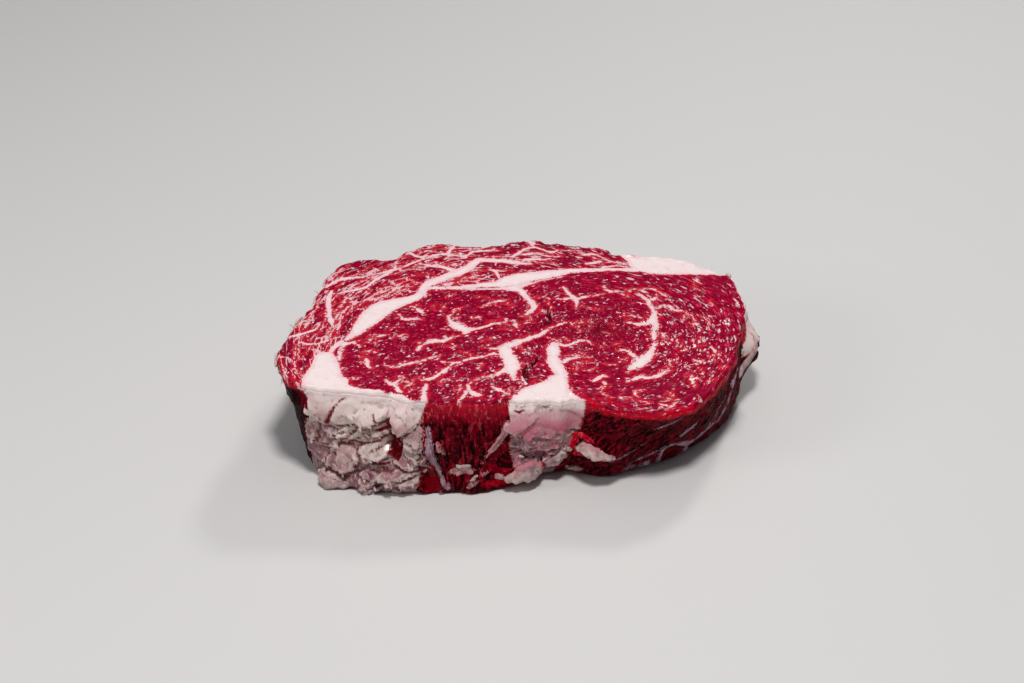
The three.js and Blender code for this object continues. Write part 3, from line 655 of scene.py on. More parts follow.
# Patches on the wall: direction, depth and half-width along each.
wallStrokes = {
    "fat": {
        "frontBlockLeft": [(216, -3, 3.5), (216, 6, 5), (215.5, 14, 6), (213.5, 24, 7), (214, 36, 8),
                           (216, 44, 8)],
        "frontBlockMiddle": [(223, -1, 7), (223, 12, 8), (222, 26, 8), (223, 44, 8)],
        "frontBlockRight": [(231.5, 0, 6.5), (232, 12, 7), (233, 22, 7.5), (232, 34, 7), (230.5, 44, 7)],
        "frontBlockEdge": [(235.5, 1.5, 3), (236, 10, 3), (237.4, 20, 3), (239, 27, 1.6), (241.5, 33, 1.0),
                           (244.5, 38, 0.8)],
        "column": [(280, -2, 14), (280, 8, 13), (279.5, 15, 12.6), (278.5, 21, 11.4), (280, 27, 7.5),
                   (281, 31, 4)],
        "columnStrand": [(265.7, 9, 2.2), (263.5, 13.5, 1.2), (260.7, 18, 1.0), (258.7, 20.5, 0.6),
                         (256.2, 25, 0.3)],
        "foamBits": [(246.5, 29, 1.0), (248.4, 28.4, 1.7), (250.5, 28, 1.2), (252.6, 28.2, 1.3)],
        "foamBits2": [(252, 34.5, 0.8), (254.2, 32, 1.1), (255, 31.5, 0.6)],
        "foamBits3": [(257, 29, 0.9), (258, 28.4, 0.6)],
        "foamBits4": [(242.6, 16, 0.5), (243.6, 19, 0.9), (244.5, 21, 0.5)],
        "lipUnderFlap": [(261.9, 30, 1.2), (266, 31, 2.0), (271, 30, 3.0), (277, 29, 3.4)],
        "knob": [(281, 27, 3), (285, 26, 4), (287, 24, 3)],
        "wedgeRoot": [(293, 22, 2), (296, 21, 3), (300, 21, 2.6)],
        "lowBits": [(289.9, 34, 1.4), (293, 33.6, 1.8), (296.4, 33, 1.2)],
        "endSkinTop": [(30, 2, 4), (22, 3, 3.4), (12, 4, 3.2), (6, 6, 3.4), (359, 8, 2.2)],
        "endWall": [(12, 12, 7), (16, 24, 7)],
        "backCornerA": [(28, 8, 8), (28, 26, 9)],
        "backCornerB": [(38, 6, 9), (38, 28, 9)],
        "backCornerC": [(50, 4, 8), (50, 28, 9)],
        "backCornerD": [(60, 12, 6), (61, 28, 7)],
        "backLayer": [(66, 21, 5), (72, 25, 6), (80, 29, 6.5), (88, 26, 5), (96, 30, 6), (104, 33, 4.5),
                      (114, 28, 6), (124, 31, 7), (134, 26, 8), (143, 30, 6.5), (152, 27, 8), (162, 32, 6),
                      (172, 33, 6.5), (182, 36, 5)],
        "backRim": [(68, 1, 3), (78, 3, 3.5), (88, 2, 2.5), (97, 5, 5), (104, 3, 2.6)],
        "backRim2": [(122, 3, 2.6), (132, 6, 5), (142, 4, 4), (150, 7, 5), (160, 5, 3)],
        "backJoin": [(97, 8, 4), (94, 16, 3), (90, 24, 3)],
        "backJoin2": [(134, 8, 4), (138, 18, 4.5), (134, 26, 4)],
        "backSpot": [(112, 14, 2.2), (118, 17, 1.2)],
        "leftTuft": [(195, 1.0, 1.6), (198, 2.5, 2.6), (200.5, 5, 2.0)],
        "leftRim": [(142, 0, 1.4), (150, 0, 2.2), (158, 0.2, 2.4), (168, 0, 2.0), (176, 0, 1.8),
                    (186, 0.6, 1.4), (193, 0.8, 1.6)],
        "rightRim": [(6, 0, 1.2), (12, -0.4, 2.2), (20, -0.2, 2.4), (26, 0, 2.2)],
        "leftWall": [(166, 12, 4), (170, 20, 5), (172, 28, 6)],
    },
    "blood": {  # deep red that shows in and under the fat
        "hollow": [(229.4, 8.5, 1.2), (230.4, 12, 2.3), (231, 16, 2.7), (231.6, 21, 1.7), (232.4, 24, 0.6)],
        "hollowLeft": [(226.6, 13.4, 0.4), (228.4, 12, 0.8), (230, 11, 1.0)],
        "crack": [(219.2, 1.5, 0.25), (218.4, 4, 0.3), (217.9, 7, 0.5), (217.4, 10, 0.6),
                  (216.8, 12.6, 0.7)],
        "cornerRust": [(211.4, 1.5, 0.8), (212.6, 5, 1.2), (213.4, 8, 0.7)],
        "lowRecess": [(238.6, 27, 1.2), (240, 31, 2.2), (242, 36, 2.0)],
        "flapSpot": [(278.6, 25.6, 0.4), (279.6, 27.6, 0.9), (280.2, 30, 1.1)],
        "wedgeSide": [(292.2, 16, 0.8), (293.4, 19, 1.2), (292.6, 24, 1.6), (296.5, 18.6, 0.6)],
        "betweenPlates": [(224.6, 24.6, 0.5), (227.6, 25.4, 0.6), (230.8, 25, 0.5)],
        "underRim": [(267.4, 2.4, 0.2), (269.4, 2.8, 0.5), (271.6, 2.2, 0.3)],
        "underRim2": [(278.6, 1.0, 0.2), (280, 1.8, 0.4), (281.6, 1.2, 0.2)],
        "seamByPillow": [(229.6, 7.4, 0.5), (228.5, 9, 0.5), (226.4, 6, 0.3)],
        "lowLeft": [(219.4, 36, 0.8), (221.4, 38.6, 1.0), (223, 39.6, 0.6)],
    },
    "skin": {  # thin lilac skin left on the muscle
        "endBand": [(348, 5, 0.7), (346.4, 7, 1.0), (344.4, 10, 1.1), (344.2, 16, 1.2), (344.9, 21, 1.1),
                    (341.3, 24, 0.9), (336, 25.4, 0.9), (330, 25.4, 1.4), (326, 22, 0.8),
                    (321.7, 19.4, 0.6), (319, 21, 0.8), (320.4, 26, 0.9), (323.2, 31, 0.6)],
        "endLow": [(330, 25.4, 0.9), (331, 29.6, 0.8), (332.4, 33.6, 0.5)],
        "footEdge": [(318, 28, 0.4), (313.6, 29.6, 0.7), (309, 30.4, 0.5), (306, 32, 0.8),
                     (302, 33.4, 0.4)],
        "strandA": [(303, 25, 0.3), (307, 21, 0.4), (311, 16.6, 0.3)],
        "strandB": [(310, 27, 0.4), (314, 23, 0.4), (319, 19, 0.3)],
        "strandC": [(323.5, 16, 0.5), (325.6, 14, 0.7), (328.8, 12.4, 0.3)],
        "strandD": [(313, 8, 0.3), (316.4, 4.6, 0.5), (318.6, 3.2, 0.3)],
        "strandE": [(334, 22, 0.3), (338, 16.6, 0.4), (341, 11, 0.3)],
        "besideBlock": [(239.4, 10, 0.4), (240.6, 17, 0.9), (241.4, 24, 1.0), (243, 30, 0.7),
                        (246, 35.6, 0.9)],
    },
    "lip": {  # wet bright red under the cut edge
        "frontRight": [(302, 0.6, 0.5), (307, 0.3, 0.7), (312, 0.1, 1.0), (317, 0.0, 1.2), (321, 0.2, 1.0),
                       (325, 0.6, 0.5)],
        "frontMiddle": [(243, 0.6, 0.2), (249, 0.8, 0.5), (255, 1.0, 0.3), (260, 1.2, 0.8),
                        (264, 2.6, 1.4)],
        "eyeFoot": [(300, -5, 1.0), (306, -3.5, 0.8)],
        "besideColumn": [(296, -2.0, 1.4), (298, 0.0, 1.2), (300, 1.6, 0.7)],
        "rightEdge": [(330, 0.8, 0.5), (338, 1.2, 0.8), (346, 1.4, 0.9)],
        "lowFront": [(258, 33, 0.8), (263, 33.6, 1.4), (269, 34, 0.8)],
    },
}


def roundAt(angle):
    # distance round the outline from direction 0
    return np.interp(np.mod(angle, 2 * np.pi), turns, roundLength)


def paintedWall(strokes):
    # a stroke's directions become distances round the steak, without a jump where they pass 360. The sheet
    # goes on past both ends, up over the cut face and down past the foot
    sheet = PaintedSheet(-30, wholeRound + 30, -14, 52, 0.3)
    for points in strokes.values():
        p = np.array(points, float)
        a = np.unwrap(np.radians(p[:, 0]))
        arcs = np.diff(a) * outlineCurve((a[1:] + a[:-1]) / 2)
        p[:, 0] = roundAt(a[0]) + np.concatenate([[0], np.cumsum(arcs)])
        for shift in (-wholeRound, 0, wholeRound):
            sheet.paint(smoothLine(p) + np.array([shift, 0, 0]))
    return sheet


wallSheets = {key: paintedWall(strokes) for key, strokes in wallStrokes.items()}

# what each mark holds where nothing is painted: depths inside a patch's edge, where on the steak a point is,
# and tones from 0 to 1, some of them painted light: shade in recesses and the dark left corner, a highlight on
# ridges, and grey that is partly painted shade further down the wall
plainMarks = {**dict.fromkeys(("fatDepth", "blood", "skin", "lip"), unpainted), "pink": 0.5,
              **dict.fromkeys(("side", "low", "cap", "sunk", "proud", "brown", "grey", "flecked"), 0.0)}
solidFat = 5.0  # depth that is fat all through


class Wire:
    # an output of a shader node: sums, products, quotients and comparisons of wires become Math nodes
    def __init__(self, nodes, socket):
        self.nodes, self.socket = nodes, socket

    def __add__(self, other):
        return self.nodes.math("ADD", self, other)

    def __sub__(self, other):
        return self.nodes.math("SUBTRACT", self, other)

    def __rsub__(self, other):
        return self.nodes.math("SUBTRACT", other, self)

    def __mul__(self, other):
        return self.nodes.math("MULTIPLY", self, other)

    def __truediv__(self, other):
        return self.nodes.math("DIVIDE", self, other)

    def __gt__(self, other):
        return self.nodes.math("GREATER_THAN", self, other)


class NodeMaker:
    # adds nodes to one tree. Each call gives the new node's outputs as wires, by name and by place
    def __init__(self, tree):
        self.tree = tree

    def feed(self, socket, value):
        if isinstance(value, Wire):
            self.tree.links.new(value.socket, socket)
        else:
            socket.default_value = value

    def add(self, kind, inputs=None, **settings):
        made = self.tree.nodes.new(kind)
        for key, value in settings.items():
            setattr(made, key, value)
        for key, value in (inputs or {}).items():
            self.feed(made.inputs[key], value)
        wires = [(socket.name, Wire(self, socket)) for socket in made.outputs]
        return {**dict(wires), **{place: wire for place, (_, wire) in enumerate(wires)}}

    def math(self, operation, *values):
        return self.add("ShaderNodeMath", dict(enumerate(values)), operation=operation)[0]

    def vector(self, operation, *values, scale=1.0):
        made = self.add("ShaderNodeVectorMath", {**dict(enumerate(values)), 3: scale}, operation=operation)
        return made["Value" if operation == "LENGTH" else "Vector"]

    def split(self, vector):
        return self.add("ShaderNodeSeparateXYZ", {0: vector})

    def joined(self, *values):
        return self.add("ShaderNodeCombineXYZ", dict(enumerate(values)))[0]

    def spun(self, vector, angle):
        inputs = {"Vector": vector, "Angle": angle}
        return self.add("ShaderNodeVectorRotate", inputs, rotation_type="Z_AXIS")[0]

    def ramp(self, value, low, high, toLow=0.0, toHigh=1.0, kind="SMOOTHSTEP"):
        inputs = {"Value": value, "From Min": low, "From Max": high, "To Min": toLow, "To Max": toHigh}
        return self.add("ShaderNodeMapRange", inputs, interpolation_type=kind)["Result"]

    def mix(self, share, first, second, kind="RGBA"):
        a, b, out = {"RGBA": (6, 7, 2), "VECTOR": (4, 5, 1)}[kind]  # the sockets of each kind
        return self.add("ShaderNodeMix", {0: share, a: first, b: second}, data_type=kind)[out]

    def noise(self, vector, scale=1.0, detail=2.0, roughness=0.55, output="Fac"):
        return self.add("ShaderNodeTexNoise", {"Vector": vector, "Scale": scale, "Detail": detail,
                                               "Roughness": roughness})[output]

    def bent(self, vector, scale, detail, warp):
        # coordinates pushed about by noise
        push = self.vector("SUBTRACT", self.noise(vector, scale, detail, 0.5, "Color"), (0.5, 0.5, 0.5))
        return self.vector("ADD", vector, self.vector("SCALE", push, scale=warp))

    def voronoi(self, vector, feature="F1"):
        return self.add("ShaderNodeTexVoronoi", {"Vector": vector, "Scale": 1.0}, feature=feature)

    def cellNumber(self, cells):
        return self.add("ShaderNodeSeparateColor", {0: cells["Color"]})[0]

    def mark(self, name):
        return self.add("ShaderNodeAttribute", attribute_name=name)["Fac"]

    def place(self, group, **inputs):
        return self.add("ShaderNodeGroup", inputs, node_tree=group)


def newGroup(name, inputs, **outputs):
    # a shader node group with named inputs, a start value each or None for a vector, and named outputs
    group = bpy.data.node_groups.new(name, "ShaderNodeTree")
    for label, value in inputs.items():
        kind = "NodeSocketVector" if value is None else "NodeSocketFloat"
        socket = group.interface.new_socket(name=label, in_out="INPUT", socket_type=kind)
        if value is not None:
            socket.default_value = value
    for label, kind in outputs.items():
        group.interface.new_socket(name=label, in_out="OUTPUT", socket_type="NodeSocket" + kind)
    n = NodeMaker(group)
    return group, n, n.add("NodeGroupInput")


# coordinates that run along the fibres: straight in the left of the eye, round a centre in its right half and
# in the cap, and down or leaning on the wall
meatGrain, n, given = newGroup("meatGrain", {"vector": None, "along": 1.0, "across": 0.5, "cap": 0.0,
                                             "side": 0.0}, vector="Vector")
point, along, across = given["vector"], given["along"], given["across"]
flat = n.split(n.spun(point, -math.radians(marbling["leftGrain"])))
leftFlow = n.joined(flat[0] / along, flat[1] / across, flat[2] / along)


def roundFlow(muscle):
    centre = [c - o for c, o in zip(marbling[muscle + "Centre"], steakShape["offCentre"])] + [0]
    away = n.vector("MULTIPLY", n.vector("SUBTRACT", point, centre), (1, 1, 0))
    turned = n.split(n.vector("SCALE", n.vector("NORMALIZE", away), scale=marbling[muscle + "Size"]))
    return n.joined(turned[0] / along, turned[1] / along, n.vector("LENGTH", away) / across)


swirlFlow, capFlow, spot = roundFlow("swirl"), roundFlow("cap"), n.split(point)
lean = spot[2] * (-1 / marbling["leanLength"]) * n.ramp(spot[0], -14.0, -4.0)
hanging = n.split(n.spun(point, lean))
wallFlow = n.joined(hanging[0] / across, hanging[1] / across, hanging[2] / along)
isRight = spot[0] + n.noise(point, 0.2) * 12.0 > marbling["swirlFrom"] + 4.0
flow = n.mix(isRight, leftFlow, swirlFlow, "VECTOR")
flow = n.mix(given["cap"] > 0.5, flow, capFlow, "VECTOR")
flow = n.mix(given["side"] > 0.5, flow, wallFlow, "VECTOR")
n.add("NodeGroupOutput", {"vector": flow})

# an edge broken up by noise: the mask is 1 where the depth, plus noise, is above zero
raggedEdge, n, given = newGroup("raggedEdge", {"vector": None, "depth": 0.0, "raggedness": 0.5,
                                               "softness": 0.2}, mask="Float")
wobble = n.noise(given["vector"], 1.0, 4.0, 0.65) - 0.5
depth = wobble * (given["raggedness"] * 4.0) + given["depth"]
n.add("NodeGroupOutput", {"mask": n.ramp(depth, given["softness"] * -1.0, given["softness"])})

# flecks: the nearest scattered point lies within a radius of its own, on coordinates bent by noise
fatFlecks, n, given = newGroup("fatFlecks", {"vector": None, "radius": 0.3, "warp": 0.4, "softness": 0.05},
                               mask="Float")
nearest = n.voronoi(n.bent(given["vector"], 1.7, 2.0, given["warp"]))
radius = given["radius"] * n.ramp(n.cellNumber(nearest), 0.25, 1.0, -0.1, 1.0, "LINEAR")
depth = radius - nearest["Distance"]
n.add("NodeGroupOutput", {"mask": n.ramp(depth, given["softness"] * -1.0, given["softness"])})

# bundles of fibres: the cells of a Voronoi pattern on coordinates bent by noise. Edge is the distance to the
# bundle's edge in units of its width, number is the bundle's own
fibreCells, n, given = newGroup("fibreCells", {"vector": None, "warp": 0.6}, edge="Float", number="Float")
bent = n.bent(given["vector"], 1.1, 3.0, given["warp"])
n.add("NodeGroupOutput", {"edge": n.voronoi(bent, "DISTANCE_TO_EDGE")["Distance"],
                          "number": n.cellNumber(n.voronoi(bent))})


def tint(red, green, blue):
    # screen values from 0 to 255 made linear
    values = [v / 255 for v in (red, green, blue)]
    return (*(v / 12.92 if v <= 0.04045 else ((v + 0.055) / 1.055) ** 2.4 for v in values), 1.0)


beefLook = {
    "eyeWeb": -0.03,  # half-width of the fat between bundles, in widths of a bundle
    "capWeb": 0.025,
    "muscle": tint(184, 0, 54),
    "muscleDeep": tint(138, 0, 42),
    # painted highlight on the crests of the bundles
    "muscleHighlight": tint(224, 74, 104),
    "fringe": tint(208, 36, 52),  # muscle just beside fat
    # painted shade at the edges of bundles and in recesses
    "muscleCreaseShade": tint(86, 0, 18),
    # the wall's muscle and its deep strands: dark partly by their own colour and partly as painted shade
    "wallMuscle": tint(128, 0, 24),
    "wallMuscleDeep": tint(24, 0, 4),
    # brighter red just under the cut edge, partly painted light from above
    "wallTopLit": tint(216, 8, 46),  # muscle just under the cut edge
    "wallStroke": tint(224, 84, 92),
    "wetRed": tint(202, 0, 34),
    "thinFat": tint(230, 176, 184),
    # painted wet glints, on the small fat dots
    "glint": tint(240, 216, 224),
    "fat": tint(241, 224, 222),
    "fatBlush": tint(238, 200, 206),
    "wallCream": tint(226, 206, 198),
    "wallPink": tint(206, 158, 158),
    "wallBrown": tint(146, 90, 86),
    # lilac grey, mixed in further down the wall partly as painted shade
    "wallGrey": tint(130, 90, 100),
    "wallFlesh": tint(206, 116, 134),
    "blood": tint(116, 0, 16),
    "skin": tint(200, 172, 194),
    # painted shade in the recesses of the fat
    "creaseShade": tint(108, 46, 42),
}


def beefMaterial():
    # muscle under fat under skin and blood, each where its marks and the noise put it
    look = beefLook
    material = bpy.data.materials.new("rawBeef")
    material.use_nodes = True
    material.node_tree.nodes.clear()
    n = NodeMaker(material.node_tree)
    place = n.vector("SCALE", n.add("ShaderNodeTexCoord")["Object"], scale=1000.0)
    mark = {key: n.mark(key) for key in plainMarks}
    low, onWall, onCap = mark["low"], mark["side"] > 0.5, mark["cap"] > 0.5

    def grain(along, across):
        return n.place(meatGrain, vector=place, along=along, across=across, cap=mark["cap"],
                       side=mark["side"])["vector"]

    def shrunk(scale):
        return n.vector("SCALE", place, scale=scale)

    # fat: wide seams, the web between bundles, flecks, and dots that are partly painted wet glints
    toothed, grit = grain(1.3, 0.55), n.noise(grain(1.2, 1.0), 1.0, 3.0, 0.65)
    patchy = n.noise(place, 0.22, 3.0) - 0.5
    calm = n.ramp(mark["cap"], 0, 1, 1.0, 0.5)
    seamDepth = (n.noise(shrunk(0.37), 1.0, 3.0) - 0.56) * (calm * 2.2) + mark["fatDepth"]
    ragged = calm * n.ramp(n.noise(place, 0.16), 0.38, 0.62, 0.5, 1.5)
    seam = n.place(raggedEdge, vector=toothed, depth=seamDepth, raggedness=ragged, softness=0.10)["mask"]
    # the size of the bundles jumps at the edges of wall and cap, because a slow change would squeeze them
    bundles = n.place(fibreCells, warp=0.9, vector=grain(
        n.ramp(onWall, 0, 1, n.ramp(onCap, 0, 1, 2.9, 8.0), 11.0), n.ramp(onCap, 0, 1, 2.1, 2.4)))
    web = patchy * 0.4 + n.ramp(mark["cap"], 0, 1, look["eyeWeb"], look["capWeb"])
    web = mark["flecked"] * 0.06 + (grit - 0.5) * 0.18 + web - bundles["edge"]
    fleckShare = n.ramp(mark["side"], 0, 1, 1.0, 0.2)
    fleckSize = (mark["flecked"] + patchy * 2.0) * 0.16 + 0.29
    flecks, dotsAndGlints = (n.place(fatFlecks, vector=grain(along, across), radius=fleckSize, warp=warp,
                            softness=softness)["mask"]
                    for along, across, warp, softness in ((3.8, 2.0, 1.5, 0.05), (2.2, 1.6, 1.1, 0.06)))
    thin = n.math("MAXIMUM", n.ramp(web, -0.02, 0.035) * fleckShare, flecks * fleckShare * 0.95)
    thin = n.math("MAXIMUM", thin, dotsAndGlints * fleckShare * 0.8)
    fat = n.math("MAXIMUM", seam, thin)

    # muscle: bundles of their own tone, streaked along the grain and mottled
    streak = n.noise(grain(3.2, 0.9), 1.0, 3.0, 0.6)
    mottle = streak * 0.5 + grit * 0.5
    edge, deep = bundles["edge"], look["muscleDeep"]
    red = n.mix(n.ramp(mottle, 0.40, 0.56), deep, look["muscle"])
    red = n.mix(n.ramp(bundles["number"], 0.3, 1.0, 0.0, 0.6), red, deep)
    # the crests of the bundles lighten as a painted highlight
    crestHighlight = n.ramp(edge, 0.10, 0.40) * n.ramp(mottle, 0.46, 0.60)
    red = n.mix(crestHighlight * 0.9, red, look["muscleHighlight"])
    # the edges of the bundles darken as painted shade
    red = n.mix(n.ramp(edge, 0.0, 0.12, 0.65, 0.0), red, look["muscleCreaseShade"])
    red = n.mix(n.ramp(n.noise(place, 0.07), 0.45, 0.62, 0.0, 0.4), red, deep)
    red = n.mix(mark["cap"] * 0.85, red, deep)
    besideFat = (streak - 0.5) * 4.0 + mark["fatDepth"]
    red = n.mix(n.ramp(besideFat, -1.5, -0.3, 0.0, 0.7), red, look["fringe"])
    wallStrandTone = n.noise(grain(7.0, 1.7)) * 0.6 + mottle * 0.4
    wallRed = n.mix(n.ramp(wallStrandTone, 0.42, 0.62), look["wallMuscleDeep"], look["wallMuscle"])
    # on the wall the muscle is brighter under the cut edge and darker further down: painted light and shade
    # from above
    red = n.mix(low, n.mix(mark["side"] * 0.75, red, look["wallTopLit"]), wallRed)
    strokes = n.ramp(streak, 0.58, 0.66, 0.0, 0.9) * n.ramp(low, 0.4, 1.0, 1.0, 0.25)
    red = n.mix(mark["side"] * strokes, red, look["wallStroke"])
    wet = n.place(raggedEdge, vector=shrunk(0.45), depth=mark["lip"], raggedness=1.3, softness=0.8)["mask"]
    red = n.mix(wet * 0.85, red, look["wetRed"])
    # recesses, cuts and the dark left corner darken as painted shade
    shadeRed = n.mix(low, look["muscleCreaseShade"], look["wallMuscleDeep"])
    red = n.mix(n.ramp(mark["sunk"], 0.14, 0.6, 0.0, 0.9), red, shadeRed)

    # fat tones: blushed on the cut face; cream, pink, brown, grey or rosy on the wall
    patch = n.noise(place, 0.35, 4.0, 0.65)
    blush = (patch - 0.5) * 1.8 + mark["pink"]
    stain = (n.noise(place, 0.5, 5.0, 0.7) - 0.5) * 3.0 + mark["brown"]
    # painted shade in recesses, broken up by grit
    sunk = (grit - 0.5) * 0.2 + mark["sunk"]
    faceFat = n.mix(n.ramp(blush, 0.1, 0.9), look["fat"], look["fatBlush"])
    wallFat = look["wallCream"]
    for share, tone in ((n.ramp(mark["pink"], 0.2, 1.0), "wallPink"),
                        (n.ramp(stain, 0.3, 1.1, 0.0, 0.85), "wallBrown"),
                        # grey further down the wall, partly painted shade
                        (mark["grey"] * n.ramp(patch, 0.35, 0.6, 0.35, 1.0), "wallGrey"),
                        (n.ramp(mark["pink"], 0.8, 1.5), "wallFlesh"),
                        # raised ridges of fat whiten as a painted highlight
                        (n.ramp(mark["proud"], 0.10, 0.4, 0.0, 0.35), "fat"),
                        # recesses of the fat darken as painted shade
                        (n.ramp(sunk, 0.12, 0.4, 0.0, 0.85), "creaseShade")):
        wallFat = n.mix(share, wallFat, look[tone])
    # the small dots take the glint tone: partly fat, partly painted wet glints
    thinFat = n.mix(low, n.mix(dotsAndGlints, look["thinFat"], look["glint"]), look["wallStroke"])
    fatTone = n.mix(n.ramp(mark["fatDepth"], -0.3, 0.6), thinFat, n.mix(low, faceFat, wallFat))
    meat = n.mix(fat, red, fatTone)
    skin = n.place(raggedEdge, vector=toothed, depth=mark["skin"], raggedness=0.8, softness=0.25)["mask"]
    meat = n.mix(skin * n.ramp(patch, 0.3, 0.7, 0.9, 0.2), meat, look["skin"])
    stained = n.place(raggedEdge, vector=shrunk(0.8), depth=mark["blood"], raggedness=0.35, softness=0.3)
    meat = n.mix(stained["mask"], meat, look["blood"])

    # fine surface: grit all over, domed bundles and crumpled chips of fat, flat at the cut edge, where the
    # pattern jumps
    chips = n.place(fibreCells, vector=shrunk(0.75), warp=0.8)["number"] * 0.25
    torn = low * fat * (chips + n.noise(shrunk(0.7), 1.0, 5.0, 0.65))
    domed = n.ramp(edge, 0.0, 0.4) * (1.0 - fat)
    height = grit * 0.5 + torn * 0.8 + fat * 0.12 + domed * 0.9 - 0.5
    height = height * n.math("ABSOLUTE", mark["side"] * 2.0 - 1.0)
    bump = n.add("ShaderNodeBump", {"Strength": 0.9, "Distance": 0.0005, "Height": height})
    wetness = n.ramp(fat, 0, 1, n.ramp(low, 0, 1, 0.18, 0.03), 0.25, "LINEAR")
    shader = n.add("ShaderNodeBsdfPrincipled", {
        "Base Color": meat, "Roughness": n.ramp(fat, 0, 1, 0.42, 0.55, "LINEAR"), "Normal": bump["Normal"],
        "Coat Weight": wetness, "Coat Roughness": 0.07, "IOR": 1.3, "Specular IOR Level": 0.03})
    n.add("ShaderNodeOutputMaterial", {"Surface": shader["BSDF"]})
    return material


rawBeef = beefMaterial()
print("materials made")

meshGrid = {
    "faceCells": (360, 236),  # across and along the sheet of cells folded into the cut face
    "wallRows": 64,
    "rollRows": 3,
    "lidSink": 5.0,  # how far the hidden lids that close the shells lie inside
}


def discGrid(nx, ny):
    # a rectangular grid folded into a disc: concentric rectangles become rings, each with its own share of
    # the radius
    a, b = np.meshgrid(np.linspace(-1, 1, nx + 1), np.linspace(-1, 1, ny + 1), indexing="ij")
    ring = np.maximum(abs(a), abs(b))
    side = np.where(a > 0, 0, np.pi) + np.pi / 4 * b / np.where(a == 0, 1, a)
    end = np.where(b > 0, np.pi / 2, -np.pi / 2) - np.pi / 4 * a / np.where(b == 0, 1, b)
    angle = np.where(abs(a) >= abs(b), side, end)
    return ring, np.where(ring == 0, 0, angle)


def discBorder(nx, ny):
    # the grid's border, anticlockwise from the corner at -45 degrees
    i = np.concatenate([np.full(ny, nx), nx - np.arange(nx), np.zeros(ny, int), np.arange(nx)])
    j = np.concatenate([np.arange(ny), np.full(nx, ny), ny - np.arange(ny), np.zeros(nx, int)])
    return i * (ny + 1) + j


def discFaces(nx, ny, start=0, up=True):
    # quads between the grid's neighbours
    i, j = np.meshgrid(np.arange(nx), np.arange(ny), indexing="ij")
    a = start + i * (ny + 1) + j
    quads = np.stack([a, a + ny + 1, a + ny + 2, a + 1], -1).reshape(-1, 4)
    return quads if up else quads[:, ::-1]


def filledRing(rim, middle, nx, ny):
    # a disc grid whose border lies on a ring of points: middle + share * (the ring there - middle)
    share, angle = (v.ravel() for v in discGrid(nx, ny))
    border = angle[discBorder(nx, ny)]
    turn = np.unwrap(np.concatenate([border - 2 * np.pi, border, border + 2 * np.pi]))
    angle = np.where(angle < turn[0], angle + 2 * np.pi, angle)
    disc = np.stack([np.interp(angle, turn, np.tile(rim[:, k], 3)) for k in range(3)], 1)
    return middle + (disc - middle) * share[:, None]


def ringFaces(upper, lower, up=False):
    # quads between rings of points, or between rows of rings
    quads = np.stack([upper, lower, np.roll(lower, -1, -1), np.roll(upper, -1, -1)], -1).reshape(-1, 4)
    return quads[:, ::-1] if up else quads


def halvingFaces(fine, coarse, up):
    # joins a ring of 2n points to a ring of n: three triangles for each coarse edge
    first, middle, last, after = fine[0::2], fine[1::2], np.roll(fine[0::2], -1), np.roll(coarse, -1)
    tris = np.concatenate([np.stack([first, coarse, middle], -1), np.stack([middle, coarse, after], -1),
                           np.stack([middle, after, last], -1)])
    return tris[:, ::-1] if up else tris


def closeShell(ring, ringIndex, start, depth, up):
    # a hidden lid behind a shown border: a ring drawn in and sunk a little, then a coarse disc. A border with
    # four points for each of the disc's is halved on the way
    nx, ny = (c // 4 for c in meshGrid["faceCells"])
    border, middle = discBorder(nx, ny), ring.mean(0)
    halved = len(ring) > 2 * len(border)
    inner = ring[::2] if halved else ring
    innerIndex, join = start + np.arange(len(inner)), halvingFaces if halved else ringFaces
    disc = middle + (filledRing(inner[::2], middle, nx, ny) - middle) * 0.96
    inner = middle + (inner - middle) * 0.985
    start += len(inner)
    return (np.vstack([inner + np.array([0, 0, depth * 0.4]), disc + np.array([0, 0, depth])]),
            [join(ringIndex, innerIndex, up), halvingFaces(innerIndex, start + border, up),
             discFaces(nx, ny, start, up)])


def marksFor(count, **given):
    # one value of each mark for every point; the ones not given are plain
    return {key: np.broadcast_to(np.ravel(given.get(key, plain)), (count,))
            for key, plain in plainMarks.items()}


def joinedMarks(*parts):
    return {key: np.concatenate([part[key] for part in parts]) for key in plainMarks}


def meshObject(name, points, marks, faces, flatFaces=()):
    # millimetres about the point that directions turn about become metres about the middle of the box, and
    # nothing dips under the table
    mesh = bpy.data.meshes.new(name)
    points = (points - np.array([*steakShape["offCentre"], 0])) / 1000
    points[:, 2] = np.maximum(points[:, 2], 0)
    mesh.from_pydata(points.tolist(), [], [f for part in (*faces, *flatFaces) for f in part.tolist()])
    smooth = np.ones(len(mesh.polygons), bool)
    smooth[sum(len(part) for part in faces):] = False
    mesh.polygons.foreach_set("use_smooth", smooth)
    for key, values in marks.items():
        layer = mesh.attributes.new(key, "FLOAT", "POINT")
        layer.data.foreach_set("value", np.ascontiguousarray(values, np.float32))
    mesh.validate()
    piece = bpy.data.objects.new(name, mesh)
    bpy.context.scene.collection.objects.link(piece)
    piece.data.materials.append(rawBeef)
    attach(piece, "root")
    print(name, sum(len(p.vertices) - 2 for p in mesh.polygons), "triangles")
    return piece


